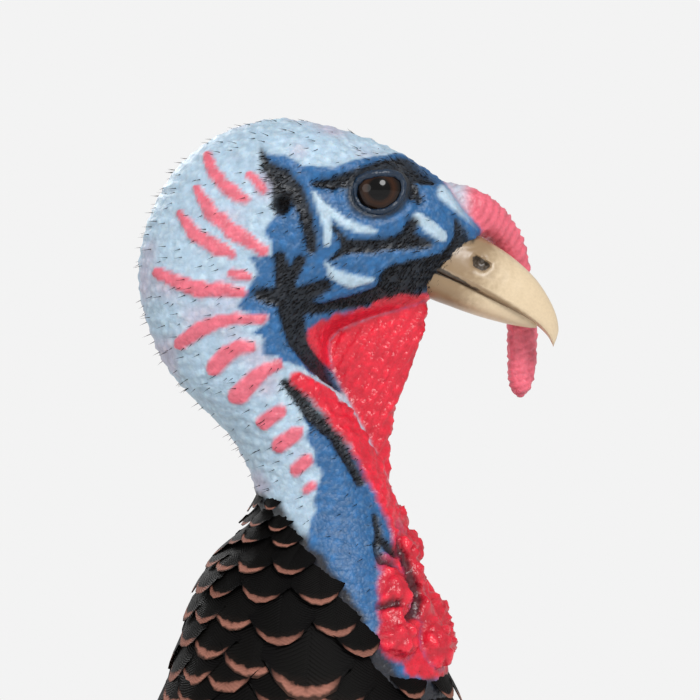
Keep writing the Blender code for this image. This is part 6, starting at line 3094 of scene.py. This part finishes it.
@dataclass
class Beard:
    """The beard: a tuft of stiff black bristle feathers that hangs from the breast.

    Attributes:
        path: the middle of the tuft, in mm.
        strands: how many bristles.
        root_spread: how far from the middle they grow, in mm.
        fan: how much further apart their ends hang, in mm.
        radius: a bristle's radius at its root, in mm.
        seed: what their places grow from.
        rings: how many rings of corners a bristle has.
        sides: how many corners a ring has.
    """

    path: tuple[Point, ...] = (
        (268.0, 0.0, 556.0), (280.0, 0.0, 551.0), (290.5, 0.0, 541.0), (299.0, 0.0, 505.0),
        (303.0, 0.0, 440.0), (302.5, 0.0, 380.0), (300.0, 0.0, 323.0),
    )
    strands: int = 240
    root_spread: float = 3.6
    fan: float = 4.4
    radius: float = 0.62
    seed: int = 5
    rings: int = 11
    sides: int = 4

    def build(self, finish: Material) -> None:
        """Grows the beard.

        Args:
            finish: its material.
        """
        sizes = {"Strands": self.strands, "Root spread": self.root_spread * MM, "Fan": self.fan * MM}
        tree = Growth("Beard", sizes | {"Radius": self.radius * MM, "Seed": self.seed, "Finish": finish})
        given, made, maths = tree.given, tree.made, tree.maths
        seed = given["Seed"]
        guide = made("GeometryNodeMeshToCurve", {0: given["Geometry"]})
        spot = tree.drawn((-0.8, -1.0, -0.8), (0.8, 1.0, 0.8), seed)
        spot = tree.vector("SCALE", spot, given["Root spread"])
        roots = made("GeometryNodePoints", {"Count": given["Strands"], "Position": spot})
        spread = made("GeometryNodeInstanceOnPoints", {"Points": roots, "Instance": guide})
        strands = made("GeometryNodeRealizeInstances", {0: spread})
        number = tree.add("GeometryNodeCurveOfPoint").outputs["Curve Index"]
        own = made("GeometryNodeInputIndex")
        end = made("ShaderNodeSeparateXYZ", {0: tree.drawn((0.80, 0, 0), (1.0, 1, 1), seed, own)})
        cut = made("GeometryNodeTrimCurve", {"Curve": strands, "End": end}, mode="FACTOR")
        even = made("GeometryNodeResampleCurve", {"Curve": cut, "Count": self.rings})
        far = tree.add("GeometryNodeSplineParameter").outputs["Factor"]
        aside = tree.drawn((-1.0, -1.1, -0.1), (0.6, 1.1, 0.1), 11, number)
        aside = tree.vector("SCALE", aside, maths("MULTIPLY", given["Fan"], maths("POWER", far, 1.3)))
        waver = tree.add("ShaderNodeTexNoise", {"Scale": 28.0, "Detail": 1.0}).outputs["Color"]
        level = tree.vector("SUBTRACT", waver, (0.5, 0.5, 0.5))
        sway = tree.vector("SCALE", level, maths("MULTIPLY", far, 0.007))
        moved = made("GeometryNodeSetPosition", {"Geometry": even, "Offset": tree.vector("ADD", aside, sway)})
        thin = maths("MULTIPLY", given["Radius"], maths("MULTIPLY_ADD", maths("POWER", far, 2.0), -0.7, 1.0))
        ring = made("GeometryNodeCurvePrimitiveCircle", {"Resolution": self.sides, "Radius": 1.0})
        inputs = {"Curve": moved, "Profile Curve": ring, "Scale": thin, "Fill Caps": True}
        solid = made("GeometryNodeCurveToMesh", inputs)
        places = through(np.array(self.path), np.linspace(0, len(self.path) - 1, 30))
        form = tree.grown(Form(np.array([placed(*p) for p in places]), []), solid)
        ring_number, corner = np.divmod(np.arange(len(form.points)), self.sides)
        strand, ring_number = np.divmod(ring_number, self.rings)
        form.values["Far"] = ring_number / (self.rings - 1)
        u = (strand + 0.25 + 0.5 * corner / 3) / (strand.max() + 1)
        form.maps["OFBake"] = np.stack([u, 0.01 + 0.98 * form.values["Far"]], axis=-1)
        piece("breast_beard", form, finish, ["beard"], crisp=0)


@dataclass(frozen=True)
class BristleFinish:
    """Stiff hair-like feather shafts: near black, with a satin gloss along them, flecked with brown."""

    def material(self) -> Material:
        """The finish as a material.

        Returns:
            The new material.
        """
        made = Recipe("black bristle", Specular_IOR_Level=0.22)
        grain = made.noise(3.0, 2.0)
        colour = made.ramp(grain, ((0.3, "070606"), (0.7, "1E1713")))
        return made.drive(Base_Color=colour, Roughness=made.maths("MULTIPLY_ADD", grain, 0.2, 0.4))


FLESH = ["head", "neck_bare", "dewlap", "snood", "caruncles"]
FLESH += [f"{part}_{side}" for side in Side for part in ("shank", "foot", *(f"toe_{name}" for name in TOES))]


def main() -> None:
    """Builds the bird, piece by piece, and reports each."""
    logging.basicConfig(level=logging.INFO, format="%(message)s")
    Studio().build()
    wings = [Wing(side) for side in Side]
    legs = [Leg(side) for side in Side]
    whole_skin = Form.joined([HeadSkin().dressed(), *(leg.skin() for leg in legs), *hidden_skin(wings)])
    piece("skin", whole_skin, BareSkin().material(), FLESH, crisp=0)
    Eyes().build()
    Bill().build()
    coat = BodyPlumage()
    piece("neck_feathers", coat.neck(), NECK_VANE.material(), ["neck_feathered"])
    piece("body_feathers", coat.trunk(), BODY_VANE.material(), ["trunk"])
    piece("rump_feathers", coat.rump(), RUMP_VANE.material(), ["rump"])
    thighs = ["thigh_left", "thigh_right"]
    piece("thigh_feathers", coat.thighs(), THIGH_VANE.material(), thighs)
    vanes = (COVERT_VANE, TERTIAL_VANE, SECONDARY_VANE, PRIMARY_VANE)
    finishes = [vane.material() for vane in vanes]
    scale = ScaleFinish().material()
    claw = Horn("claw keratin", "3A302A", "15110F", roughness=0.3).material()
    for wing in wings:
        wing.build(finishes)
    for leg in legs:
        leg.build(scale, claw)
    Tail().build()
    bristle = BristleFinish().material()
    Bristles().build(whole_skin, bristle)
    Beard().build(bristle)


if __name__ == "__main__":
    main()
